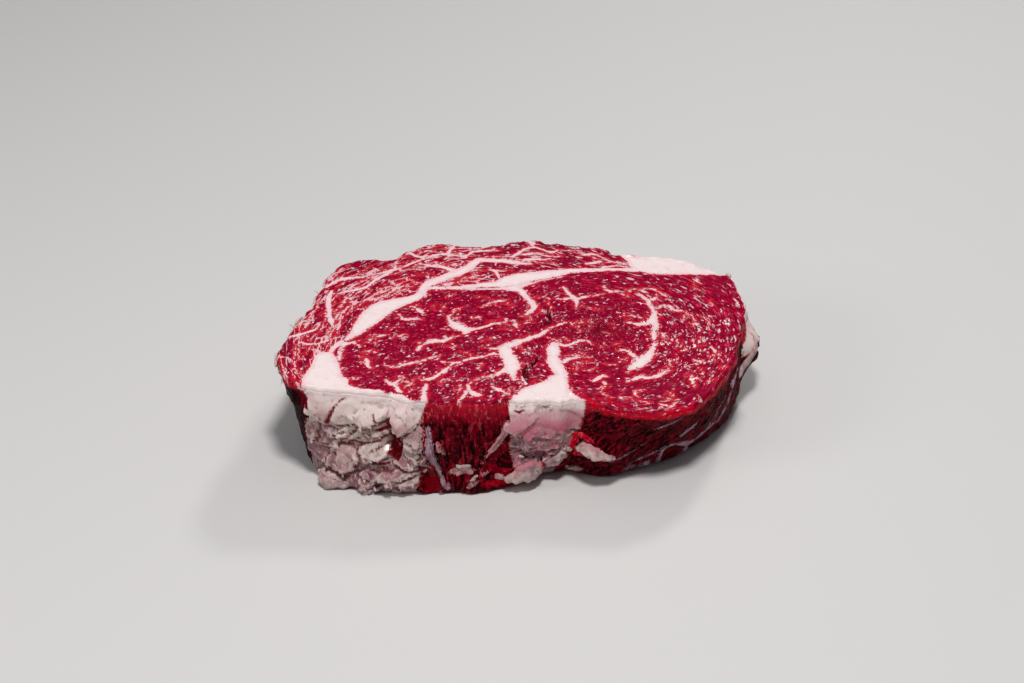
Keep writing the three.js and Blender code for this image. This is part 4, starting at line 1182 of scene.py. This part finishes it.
reliefSize = {
    "bulge": 0.30,  # how far muscle stands over the seams
    "bundleGroove": 0.32,
    "grain": 0.09,
    "tornPlates": [(9.0, 0.75), (4.2, 0.34)],  # width and height of the plates of torn fat
    "fibreBundle": (2.6, 0.45),  # width and height of the bundles that hang down the wall
    "fadeIn": 3.6,  # depth by which the wall's relief is full
    "flapRaise": 1.8,
    "muscleSink": 0.35,
    "skinRaise": 0.35,
    "bloodSink": 0.9,
    "rosyTurns": (258, 268, 294, 304),  # directions where the rosy column starts, is full, fades and ends
    # the dark left corner is painted shadow: its muscle darkens right under the cut edge
    "shadowTurns": (186, 198, 210, 213),  # and the dark left corner
    "frothDepths": (9, 15, 27, 33),  # and depths of the froth on the column
}

print("building the cut face")
nx, ny = meshGrid["faceCells"]
ring, angle = discGrid(nx, ny)
share = 1 - (1 - ring) ** 1.1
radius = rimRadius(angle)
x, y = onCircle(share * radius, angle)
inward, along = (1 - share) * radius, roundAt(angle)
wallFatHere = wallSheets["fat"].read(along, -np.minimum(inward, 9)) - 1.6 * inward
faceFat = np.maximum(faceSheet.read(x, y), wallFatHere)
muscle = smoothStep(0.25, -0.9, faceFat)
gap, tone = bundleField(x, y)
grains = reliefSize["grain"] * (flatNoise(x, y, 0.8) + flatNoise(x, y, 1.7, 4))
grooves = reliefSize["bundleGroove"] * np.exp(-((gap / 0.45) ** 2))
relief = muscle * (reliefSize["bulge"] - grooves + 0.10 * (tone - 0.5) + grains)
crumbly = smoothStep(5.0, 0.5, inward) * (0.3 * flatNoise(x, y, 1.7, 3) + 0.35 * flatNoise(x, y, 4, 5))
relief += (1 - muscle) * (0.12 * flatNoise(x, y, 3.5, 7.7) + crumbly)
cuts = np.zeros_like(x)
for depth, line in steakShape["faceCuts"]:
    cutSheet = PaintedSheet(*faceArea)
    cutSheet.paint(smoothLine(line), 2.0)
    cuts = np.maximum(cuts, 0.75 * depth * smoothStep(-0.2, 0.5, cutSheet.read(x, y)))
relief = smoothStep(0.0, 0.8, inward) * relief - cuts * smoothStep(0, 1.2, inward)
hollow = blurred(relief, 3, False) - relief
facePoints = np.stack([x, y, faceHeight(x, y, share, radius) + relief], -1).reshape(-1, 3)
overRim = {key: wallSheets[key].read(along, -inward) for key in ("blood", "lip", "skin")}
# on the cut face, hollows and cuts darken as painted shade and raised ridges whiten as a painted highlight
faceMarks = marksFor(x.size, fatDepth=faceFat, side=inward < 0.25, low=smoothStep(1.6, 0, inward) * 0.25,
                     cap=inCap(x, y), sunk=np.maximum(hollow, cuts * 0.2), proud=np.maximum(-hollow, 0),
                     pink=0.2 + 0.6 * smoothStep(2.4, 0.4, faceFat), flecked=fleckedAt(x, y), **overRim)
faceBorder = discBorder(nx, ny)
rimRing = facePoints[faceBorder]
lid, lidFaces = closeShell(rimRing, faceBorder, len(facePoints), -meshGrid["lidSink"], False)
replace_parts(meshObject("cutFace", np.vstack([facePoints, lid]), joinedMarks(faceMarks, marksFor(len(lid))),
                       [discFaces(nx, ny)], lidFaces), "steak")

print("building the wall")
rows, rolls = meshGrid["wallRows"], meshGrid["rollRows"]
wallAngle = angle.ravel()[faceBorder]
t = (np.arange(rows + 1) / rows)[:, None] * np.ones_like(wallAngle)
a = np.broadcast_to(wallAngle, t.shape)
plain, z, rim, lumps = wallForm(a, t)
down, along, turned = rim - z, roundAt(a), np.degrees(a) % 360
x, y = onCircle(plain, a)
seamDown = faceSheet.read(*onCircle(rimRadius(a), a)) - down * 0.4
wallFatDepth = np.maximum(seamDown, wallSheets["fat"].read(along, down))
blood, skin, lip = (wallSheets[key].read(along, down) for key in ("blood", "skin", "lip"))
fatShare = smoothStep(-0.5, 0.5, wallFatDepth)
flesh, shaded = band(turned, *reliefSize["rosyTurns"]), band(turned, *reliefSize["shadowTurns"])
frothy = flesh * band(down, *reliefSize["frothDepths"])
froth = 0.7 * roundNoise(x, y, z, 1.7) + 0.4 * roundNoise(x, y, z, 0.8)
# torn fat: plates of two sizes on coordinates bent by noise, under flaps
raised, pink, brown = flapRelief(a, plain, z)
torn = np.clip(cragAt(a), 0.4, 1.2) * (1 - 0.6 * flesh * smoothStep(22, 14, down))
torn = torn * (0.35 + 0.65 * smoothStep(4, 18, down))
bent = [v + 1.5 * roundNoise(x, y, z, 5, k) + 0.5 * roundNoise(x, y, z, 1.6, k)
        for v, k in ((x, 0), (y, 17), (z, 31))]
plates, plateNumber = 0.05 * roundNoise(x, y, z, 0.9), 0.0
for size, height in reliefSize["tornPlates"]:
    cells = cellField(*(v / size for v in bent))
    plates = plates + height * cells[3]
    plateNumber = plateNumber + (cells[2] - 0.5) / len(reliefSize["tornPlates"])
# muscle: bundles that hang down the wall, and lean beyond the fat block
fx, fy = onCircle(75, a - smoothStep(262, 275, turned) * z / marbling["leanLength"])
fx, fy = fx + 0.9 * softNoise(x / 3, y / 3, z / 7), fy + 0.9 * softNoise(x / 3 + 9, y / 3, z / 7)
size, height = reliefSize["fibreBundle"]
fibres = height * plateField(fx / size, fy / size, z / 16, 0.5) + 0.16 * softNoise(fx / 0.8, fy / 0.8, z / 4)
fibres += 0.10 * softNoise(fx / 0.7, fy / 0.7, z / 1.4)
fineWall = fatShare * (torn * plates + reliefSize["flapRaise"] * raised + frothy * froth)
fineWall += (1 - fatShare) * (fibres - reliefSize["muscleSink"])
fineWall += reliefSize["skinRaise"] * smoothStep(-0.3, 0.4, skin)
fineWall -= reliefSize["bloodSink"] * smoothStep(-0.5, 0.7, blood)
relief = np.minimum(1, t * 4) * lumps + smoothStep(0, reliefSize["fadeIn"], down) * fineWall
r = plain + relief
wallPoints, wallZ = np.stack([*onCircle(r, a), z], -1), z
wallPoints[0] = rimRing
hollow = blurred(relief, 2, True) - relief
# hollows of the wall's relief darken as painted shade
sunk = np.maximum(0, hollow) * smoothStep(0.2, 2.0, down)
# the muscle of the dark left corner gets painted shadow
sunk += 0.9 * shaded * smoothStep(0.2, 3.5, down) * (1 - fatShare)
pink = blurred(pink, 3, True) * (0.4 + 0.6 * smoothStep(2, 12, down)) + 0.8 * plateNumber
pink = np.clip(pink + flesh * band(down, 0, 5, 20, 34) + 0.5 * frothy * (froth - 1), 0, 1.6)
brown = blurred(brown, 2, True) * (1 - flesh) * (0.2 + 0.8 * smoothStep(8, 16, down))
# greyer further down the wall as painted shade, and greyer on some plates at random
grey = (0.45 * smoothStep(6, 16, down) + 0.5 * smoothStep(18, 34, down)
        + 1.2 * plateNumber * smoothStep(4, 16, down) + 0.6 * flesh * smoothStep(10, 20, down))
# the low mark runs from 0.25 at the cut edge to 1 within this reach; on the wall's muscle it stands for painted
# light under the cut edge fading to painted shade further down, and it reaches less far at the right end and in
# the dark left corner
paintedLightReach = 10 - 8 * np.maximum(smoothStep(288, 300, turned), shaded)
wallMarks = marksFor(z.size, fatDepth=wallFatDepth, side=1.0, blood=blood, skin=skin, lip=lip, sunk=sunk,
                     low=0.25 + 0.75 * smoothStep(0, 1, (down - 0.2) / paintedLightReach), brown=brown,
                     # ridges of the wall's relief whiten as a painted highlight
                     proud=np.maximum(-hollow, 0), grey=np.clip(grey, 0, 1), pink=pink)

# the foot rolls in to the flat rest by a quarter circle
q = (np.arange(1, rolls + 1) / rolls * math.pi / 2)[:, None]
rollX, rollY = onCircle(r[-1] - steakShape["restInset"] * (1 - np.cos(q)), wallAngle)
rollZ = z[-1] * (1 - np.sin(q))
rollZ[-1] = 0
rollPoints = np.stack([rollX, rollY, rollZ], -1)
sidePoints = np.vstack([wallPoints.reshape(-1, 3), rollPoints.reshape(-1, 3)])
rowIndex = np.arange(len(sidePoints)).reshape(rows + rolls + 1, -1)
upper, upperFaces = closeShell(rimRing, rowIndex[0], len(sidePoints), -0.5 * meshGrid["lidSink"], True)
lower, lowerFaces = closeShell(rollPoints[-1], rowIndex[-1], len(sidePoints) + len(upper),
                               0.5 * meshGrid["lidSink"], False)
rollMarks = {key: np.tile(values.reshape(t.shape)[-1], rolls) for key, values in wallMarks.items()}
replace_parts(meshObject("steakSide", np.vstack([sidePoints, upper, lower]),
                       joinedMarks(wallMarks, rollMarks, marksFor(len(upper) + len(lower))),
                       [ringFaces(rowIndex[:-1], rowIndex[1:])], upperFaces + lowerFaces), "steak")

print("building the underside")
halfRing = rollPoints[-1][::2]
nx, ny = (c // 2 for c in meshGrid["faceCells"])
underPoints = filledRing(halfRing, np.zeros(3), nx, ny)
x, y = underPoints[:, 0], underPoints[:, 1]
underMarks = marksFor(len(x), fatDepth=faceSheet.read(x * 1.05 + 1.5, y * 1.05 - 1), cap=inCap(x, y),
                      low=0.35)
lid, lidFaces = closeShell(halfRing, discBorder(nx, ny), len(x), 4.0, True)
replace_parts(meshObject("restFace", np.vstack([underPoints, lid]), joinedMarks(underMarks, marksFor(len(lid))),
                       [discFaces(nx, ny, 0, False)], lidFaces), "steak")


def ribbons(line, side, normal, thick, rings):
    # closed strips with an oval section. Line, side and normal are (strips, stations, 3) and side carries the
    # half-width. The first and last stations are the tips. The others get a ring of points:
    # centre + side * cos + normal * thick * sin
    count, inner = line.shape[0], line.shape[1] - 2
    q = np.linspace(0, 2 * np.pi, rings, endpoint=False)[:, None]
    middle = line[:, 1:-1, None] + side[:, 1:-1, None] * np.cos(q)
    middle = middle + (normal * thick[..., None])[:, 1:-1, None] * np.sin(q)
    points = np.concatenate([middle.reshape(count, inner * rings, 3), line[:, :1], line[:, -1:]], 1)
    here, after = np.arange(rings), np.roll(np.arange(rings), -1)
    last, first = (inner - 1) * rings, np.full(rings, inner * rings)
    rows = np.arange(inner * rings).reshape(inner, rings)
    quads = ringFaces(rows[:-1], rows[1:])[:, [0, 3, 2, 1]]
    tips = np.concatenate([np.stack([first, after, here], -1),
                           np.stack([first + 1, last + here, last + after], -1)])
    step = (np.arange(count) * points.shape[1])[:, None, None]
    faces = [(quads + step).reshape(-1, 4), (tips + step).reshape(-1, 3)]
    return points.reshape(-1, 3), faces, points.shape[1]


def unit(v):
    # vectors made one long
    return v / np.maximum(np.linalg.norm(v, axis=-1, keepdims=True), 1e-9)


def wallFrame(angle):
    # outward, round and up at each direction
    c, s, flat = np.cos(angle), np.sin(angle), np.zeros_like(angle)
    return np.stack([c, s, flat], -1), np.stack([-s, c, flat], -1), np.stack([flat, flat, flat + 1], -1)


def wallSpot(direction, height):
    # the nearest point of the wall's grid to a direction in degrees and a height
    angle = np.radians(np.asarray(direction, float))
    column = np.abs(np.angle(np.exp(1j * (wallAngle[None] - angle[..., None])))).argmin(-1)
    row = np.abs(wallZ[:, column] - np.asarray(height, float)[None]).argmin(0)
    return wallPoints[row, column], angle


def addStrips(name, rng, root, angle, heading, length, width, thick, lift, pink, pinkest, rings):
    # strips that start at a root on the wall, run along a heading in its plane and lift off it as they go
    count, stations = len(root), 7
    out, around, up = (v[:, None] for v in wallFrame(angle))
    u = np.linspace(0, 1, stations)[None, :, None]
    length, width, lift, heading = (v[:, None, None] for v in (length, width, lift, heading))
    ahead = around * np.cos(heading) + up * np.sin(heading)
    across = np.cross(out, ahead)
    sway = rng.normal(0, 0.12, (count, stations, 1)) * width
    line = root[:, None] - 0.35 * out + ahead * length * u + across * sway + out * lift * length * u**1.7
    along = unit(np.gradient(line, axis=1))
    shape = np.sin(np.pi * (0.12 + 0.88 * u)) ** 0.6 * (1 + 0.35 * rng.uniform(-1, 1, (count, stations, 1)))
    points, faces, perStrip = ribbons(line, across * width * shape, unit(np.cross(along, across)),
                                      thick[:, None] * (1.15 - 0.6 * u[..., 0]), rings)
    pinks = np.repeat(np.clip(rng.normal(*pink, count), 0, pinkest), perStrip)
    meshObject(name, points, marksFor(len(points), fatDepth=solidFat, side=1.0, low=1.0, pink=pinks), faces)


tornBits = {
    "seed": 5,
    "flakes": 480,
    "flakeLength": (1.2, 3.4),
    "flakeWidth": (0.7, 1.7),
    "crumbs": 190,
    "crumbLength": (0.6, 1.8),
    "spikes": 44,
    "spikeLength": (0.8, 2.6),
    "spikeFrom": [(200, 4, 40, 3.0), (203, 3, 38, 3.0), (150, 8, 43, 0.6), (172, 10, 43, 0.6),
                  (193, 6, 43, 0.6)],  # direction, spread, height, spread
}

rng = np.random.default_rng(tornBits["seed"])
# flakes hang on torn fat, most where it is craggiest
count = tornBits["flakes"]
weight = smoothStep(0.0, 1.5, wallFatDepth) * smoothStep(0.5, 3, down) * smoothStep(0.5, 2.5, wallZ)
weight = (weight * torn**1.5 * (0.15 + raised)).ravel()
pick = rng.choice(weight.size, count, p=weight / weight.sum())
length = rng.uniform(*tornBits["flakeLength"], count) * rng.uniform(0.5, 1, count)
width = rng.uniform(*tornBits["flakeWidth"], count) * rng.uniform(0.5, 1, count)
addStrips("tornFlakes", rng, wallPoints.reshape(-1, 3)[pick], a.ravel()[pick],
          rng.normal(-np.pi / 2, 1.0, count), length, width, rng.uniform(0.10, 0.18, count),
          rng.uniform(-0.08, 0.26, count), (0.35, 0.35), 1.3, 8)
# crumbs sit on the cut edge where it is fat
count = tornBits["crumbs"]
weight = smoothStep(-0.2, 0.6, wallFatDepth[0])
pick = rng.choice(len(weight), count, p=weight / weight.sum())
root = rimRing[pick] + np.stack([*onCircle(0.2, wallAngle[pick]), rng.uniform(-1.8, -0.1, count)], 1)
length = rng.uniform(*tornBits["crumbLength"], count)
addStrips("rimCrumbs", rng, root, wallAngle[pick], rng.uniform(0, 2 * np.pi, count), length,
          length * rng.uniform(0.25, 0.55, count), length * rng.uniform(0.15, 0.4, count),
          rng.uniform(-0.2, 0.5, count), (0.1, 0.3), 1, 7)
# thin spikes stand off torn edges
count = tornBits["spikes"]
place = np.array(tornBits["spikeFrom"], float)[rng.integers(0, len(tornBits["spikeFrom"]), count)]
root, angle = wallSpot(place[:, 0] + place[:, 1] * rng.uniform(-1, 1, count),
                       place[:, 2] + place[:, 3] * rng.uniform(-1, 1, count))
addStrips("fatSpikes", rng, root, angle, rng.uniform(0, 2 * np.pi, count),
          rng.uniform(*tornBits["spikeLength"], count), rng.uniform(0.2, 0.5, count),
          rng.uniform(0.08, 0.16, count), rng.uniform(0.1, 0.9, count), (0.2, 0.3), 1, 6)

# larger bits: stations of direction, height, distance off the wall, half-width and half-thickness, then
# how far the section turns from upright, its pinkness and whether it is fat
bigBits = {
    "footFlap": ([(264.0, 6.0, -0.4, 0.6, 0.4), (265.6, 6.4, 0.8, 1.5, 0.7), (268, 7.2, 1.3, 2.5, 1.0),
                  (271, 8.2, 1.6, 3.4, 1.2), (274, 9.0, 1.7, 3.8, 1.2), (277, 8.6, 1.2, 3.0, 1.0),
                  (279, 7.8, -0.2, 1.4, 0.6)], 14, 0.3, 1),
    "footKnob": ([(278.8, 7.4, -0.6, 0.6, 0.5), (280.6, 8.0, 0.4, 1.7, 1.0), (283.2, 9.4, 0.7, 2.1, 1.2),
                  (286, 11.8, 0.4, 1.9, 1.1), (288, 14.6, -0.4, 0.9, 0.6)], -12, 0.1, 1),
    "redSpot": ([(278.4, 9.8, 0.3, 0.3, 0.3), (279.6, 8.6, 1.3, 0.6, 0.5),
                 (280.4, 6.8, 0.6, 0.3, 0.3)], 0, 1.6, 0.2),
    "fatWedge": ([(292.0, 16.0, -0.8, 0.6, 0.5), (293.2, 17.0, 0.8, 2.6, 0.9), (294.6, 17.0, 1.5, 3.0, 1.0),
                  (296.6, 16.0, 1.6, 2.3, 1.0), (299.0, 15.2, 1.2, 1.2, 0.8),
                  (301.2, 14.8, 0.2, 0.3, 0.3)], 40, 0.5, 1),
    "tornRed": ([(289.6, 12.4, -0.6, 0.5, 0.5), (290.6, 15.6, 0.6, 1.0, 0.8), (291.2, 19.4, 1.1, 1.3, 1.0),
                 (292.4, 21.6, 1.2, 1.2, 1.0), (294.4, 21.0, 1.0, 1.0, 0.8), (296.4, 19.4, 0.5, 0.6, 0.5),
                 (297.6, 18.4, -0.4, 0.2, 0.2)], 0, 1.6, 0.45),
    "tornRedLow": ([(291.2, 11.2, -0.4, 0.3, 0.3), (291.8, 12.8, 0.7, 0.8, 0.7),
                    (293.0, 14.4, 1.0, 0.8, 0.7), (294.2, 15.2, 0.2, 0.3, 0.3)], 0, 1.6, 0.3),
    "paleBit": ([(288.6, 14.2, 0.2, 0.3, 0.3), (289.8, 15.0, 1.1, 0.9, 0.6), (291.2, 16.4, 0.6, 0.5, 0.4),
                 (292.0, 17.0, 0.0, 0.2, 0.2)], 0, 0.0, 1),
    "lowCrumb": ([(289.6, 2.8, -0.5, 0.4, 0.3), (291.6, 3.0, 0.3, 1.0, 0.6), (294.4, 3.6, 0.4, 0.9, 0.6),
                  (296.8, 4.0, -0.5, 0.3, 0.3)], 0, 0.7, 1),
    "blockLobe": ([(213.6, 2.6, -0.6, 0.6, 0.5), (215.4, 3.0, 0.2, 1.9, 0.8), (218, 3.2, 0.5, 2.2, 0.9),
                   (220.8, 2.6, 0.0, 1.4, 0.6), (222.2, 2.2, -0.6, 0.4, 0.3)], 8, 0.1, 1),
    "skinStrand": ([(265.9, 30.4, -0.1, 0.3, 0.15), (263.7, 25.8, 0.3, 0.6, 0.15),
                    (260.8, 21.0, 0.4, 0.4, 0.15), (258.8, 18.6, 0.3, 0.3, 0.12),
                    (256.0, 13.8, -0.2, 0.1, 0.1)], 0, 1.1, 1),
    "blockStrand": ([(238.6, 31.2, -0.1, 0.2, 0.1), (240.8, 20.8, 0.3, 0.3, 0.15),
                     (241.7, 13.4, 0.4, 0.4, 0.15), (244.2, 6.6, 0.3, 0.3, 0.15),
                     (245.6, 3.2, -0.1, 0.2, 0.1)], 0, 0.8, 1),
    "foamBit": ([(247.2, 12.0, -0.2, 0.3, 0.2), (248.8, 11.6, 0.3, 0.8, 0.4), (251, 11.4, 0.3, 0.7, 0.4),
                 (253, 11.6, -0.1, 0.3, 0.2)], 0, 0.3, 1),
    "foamBit2": ([(252.4, 5.6, -0.1, 0.3, 0.2), (253.8, 6.8, 0.3, 0.6, 0.4),
                  (255.2, 8.4, 0.0, 0.3, 0.2)], 0, 0.3, 1),
    "endTag": ([(353.4, 14.6, -0.8, 0.6, 0.5), (356.6, 18.0, 0.2, 1.8, 0.9), (0.6, 20.6, 0.5, 2.4, 1.1),
                (4.0, 24.4, 0.1, 1.8, 0.9), (6.4, 28.2, -0.8, 0.6, 0.5)], 0, 0.15, 1),
    "cornerNub": ([(26.0, 33.8, -0.4, 0.6, 0.6), (26.6, 35.4, 0.9, 1.1, 1.1), (27.0, 37.4, 0.7, 1.0, 1.0),
                   (27.2, 38.6, -0.1, 0.4, 0.4)], 0, 0.0, 1),
    "leftTuft": ([(196.6, 39.0, -0.3, 0.5, 0.3), (198.2, 40.0, 0.3, 1.3, 0.5), (199.8, 41.0, 0.5, 1.6, 0.5),
                  (201.4, 41.6, 0.0, 0.7, 0.3)], 0, 0.0, 1),
    "leftFlake": ([(181, 42.0, 0.0, 0.3, 0.2), (182.6, 42.4, 1.0, 0.8, 0.3), (185, 42.2, 1.2, 0.8, 0.3),
                   (186.4, 41.6, 0.2, 0.2, 0.2)], 0, 0.0, 1),
}


def bigStrip(rng, stations, turn, pink, fatness, rings=28):
    # one long strip over the wall with a wrinkled skin. Gives its points, faces, pinkness and depth of fat
    p = np.array(stations, float)
    p[:, 0] = np.degrees(np.unwrap(np.radians(p[:, 0])))
    p = smoothLine(p, 5)
    base, angle = wallSpot(p[:, 0], p[:, 1])
    out, _, up = wallFrame(angle)
    evened = [np.convolve(np.pad(base[:, k], 3, mode="edge"), np.ones(7) / 7, "valid") for k in range(3)]
    line = np.stack(evened, 1) + out * p[:, 2:3]
    along = unit(np.gradient(line, axis=0))
    c, s = math.cos(math.radians(turn)), math.sin(math.radians(turn))
    normal = unit(np.cross(along, np.cross(out * c + up * s, along)))
    side = unit(np.cross(normal, along)) * p[:, 3:4]
    strip, faces, count = ribbons(line[None], side[None], normal[None], p[None, :, 4], rings)
    middle = np.concatenate([np.repeat(line[1:-1], rings, 0), line[:1], line[-1:]])
    x, y, w = strip.T / 1.1
    rough = 0.45 * softNoise(x * 0.7, y * 0.7, w * 0.7) + 0.25 * softNoise(x * 2, y * 2, w * 2)
    fold = np.tile(np.linspace(0, 2 * np.pi, rings, endpoint=False), len(line) - 2)
    arc = np.repeat(np.arange(1, len(line) - 1), rings) * 0.5
    rough[:-2] += 0.3 * np.sin(1.5 * fold + 1.9 * arc + 4 * rough[:-2])
    reach = np.minimum(1, np.linalg.norm(strip - middle, axis=1))
    strip = strip + unit(strip - middle) * (rough * reach)[:, None]
    blush = 0.3 * np.maximum(0, ((strip - middle) * up[0]).sum(1))
    pinks = np.clip(pink + blush + 0.3 * softNoise(x * 0.4, y * 0.4, w * 0.4), 0, 1.6)
    ragged = rng.uniform(0, 0.8, count)
    return strip, faces, pinks, np.full(count, solidFat) if fatness == 1 else 0.2 - ragged


rng = np.random.default_rng(tornBits["seed"] + 1)
made = [bigStrip(rng, *bit) for bit in bigBits.values()]
starts = np.cumsum([0] + [len(bit[0]) for bit in made])
points, pinks, fats = (np.concatenate([bit[k] for bit in made]) for k in (0, 2, 3))
faces = [np.vstack([bit[1][k] + start for bit, start in zip(made, starts)]) for k in (0, 1)]
# bits below the top of the wall are stained brown at random and greyed, the grey partly painted shade
stains, dull = 0.35 + 0.5 * roundNoise(*points.T, 2.2), smoothStep(38, 30, points[:, 2])
meshObject("tornPieces", points, marksFor(len(points), fatDepth=fats, side=1.0, low=1.0, pink=pinks,
                                          brown=stains * dull, grey=(0.8 - stains) * dull,
                                          lip=np.where(fats < 1, 1.0, unpainted)), faces)

stageLook = {
    "floorTone": (0.66, 0.65, 0.64, 1.0),
    "skyLow": (0.05, 0.05, 0.055, 1.0),
    "skyHigh": (0.45, 0.46, 0.48, 1.0),
    "worldStrength": 0.8,
    "lamps": {  # place, width, power and tone of each soft lamp
        "keyLight": ((0.04, -0.34, 1.00), 0.16, 6.8, (1.0, 0.98, 0.97)),
        "backLight": ((0.30, 0.55, 0.62), 0.14, 1.8, (1.0, 0.99, 0.98)),
        "fillLight": ((-0.85, -0.40, 0.50), 0.36, 2.0, (1.0, 0.98, 0.96)),
    },
}

bpy.ops.mesh.primitive_plane_add(size=6.0, location=(0, 0, 0))
floor = bpy.context.object
floor.name = "tableTop"
floorPaint = bpy.data.materials.new("paleTable")
floorPaint.use_nodes = True
floorShader = floorPaint.node_tree.nodes["Principled BSDF"]
floorShader.inputs["Base Color"].default_value = stageLook["floorTone"]
floorShader.inputs["Roughness"].default_value = 0.7
floor.data.materials.append(floorPaint)

for name, (place, width, power, tone) in stageLook["lamps"].items():
    data = bpy.data.lights.new(name, "AREA")
    data.shape, data.size, data.energy, data.color = "DISK", width, power, tone
    lamp = bpy.data.objects.new(name, data)
    bpy.context.scene.collection.objects.link(lamp)
    lamp.location = place
    lamp.rotation_euler = (math.atan2(math.hypot(*place[:2]), place[2]), 0,
                           math.atan2(place[1], place[0]) + math.pi / 2)

world = bpy.data.worlds.new("studio")
bpy.context.scene.world = world
world.use_nodes = True
n, background = NodeMaker(world.node_tree), world.node_tree.nodes["Background"]
up = n.split(n.add("ShaderNodeTexCoord")["Generated"])[2]
n.feed(background.inputs["Color"], n.mix(n.ramp(up, 0.45, 0.95), stageLook["skyLow"], stageLook["skyHigh"]))
background.inputs["Strength"].default_value = stageLook["worldStrength"]
bpy.context.scene.view_settings.view_transform = "Standard"
print("stage lit")
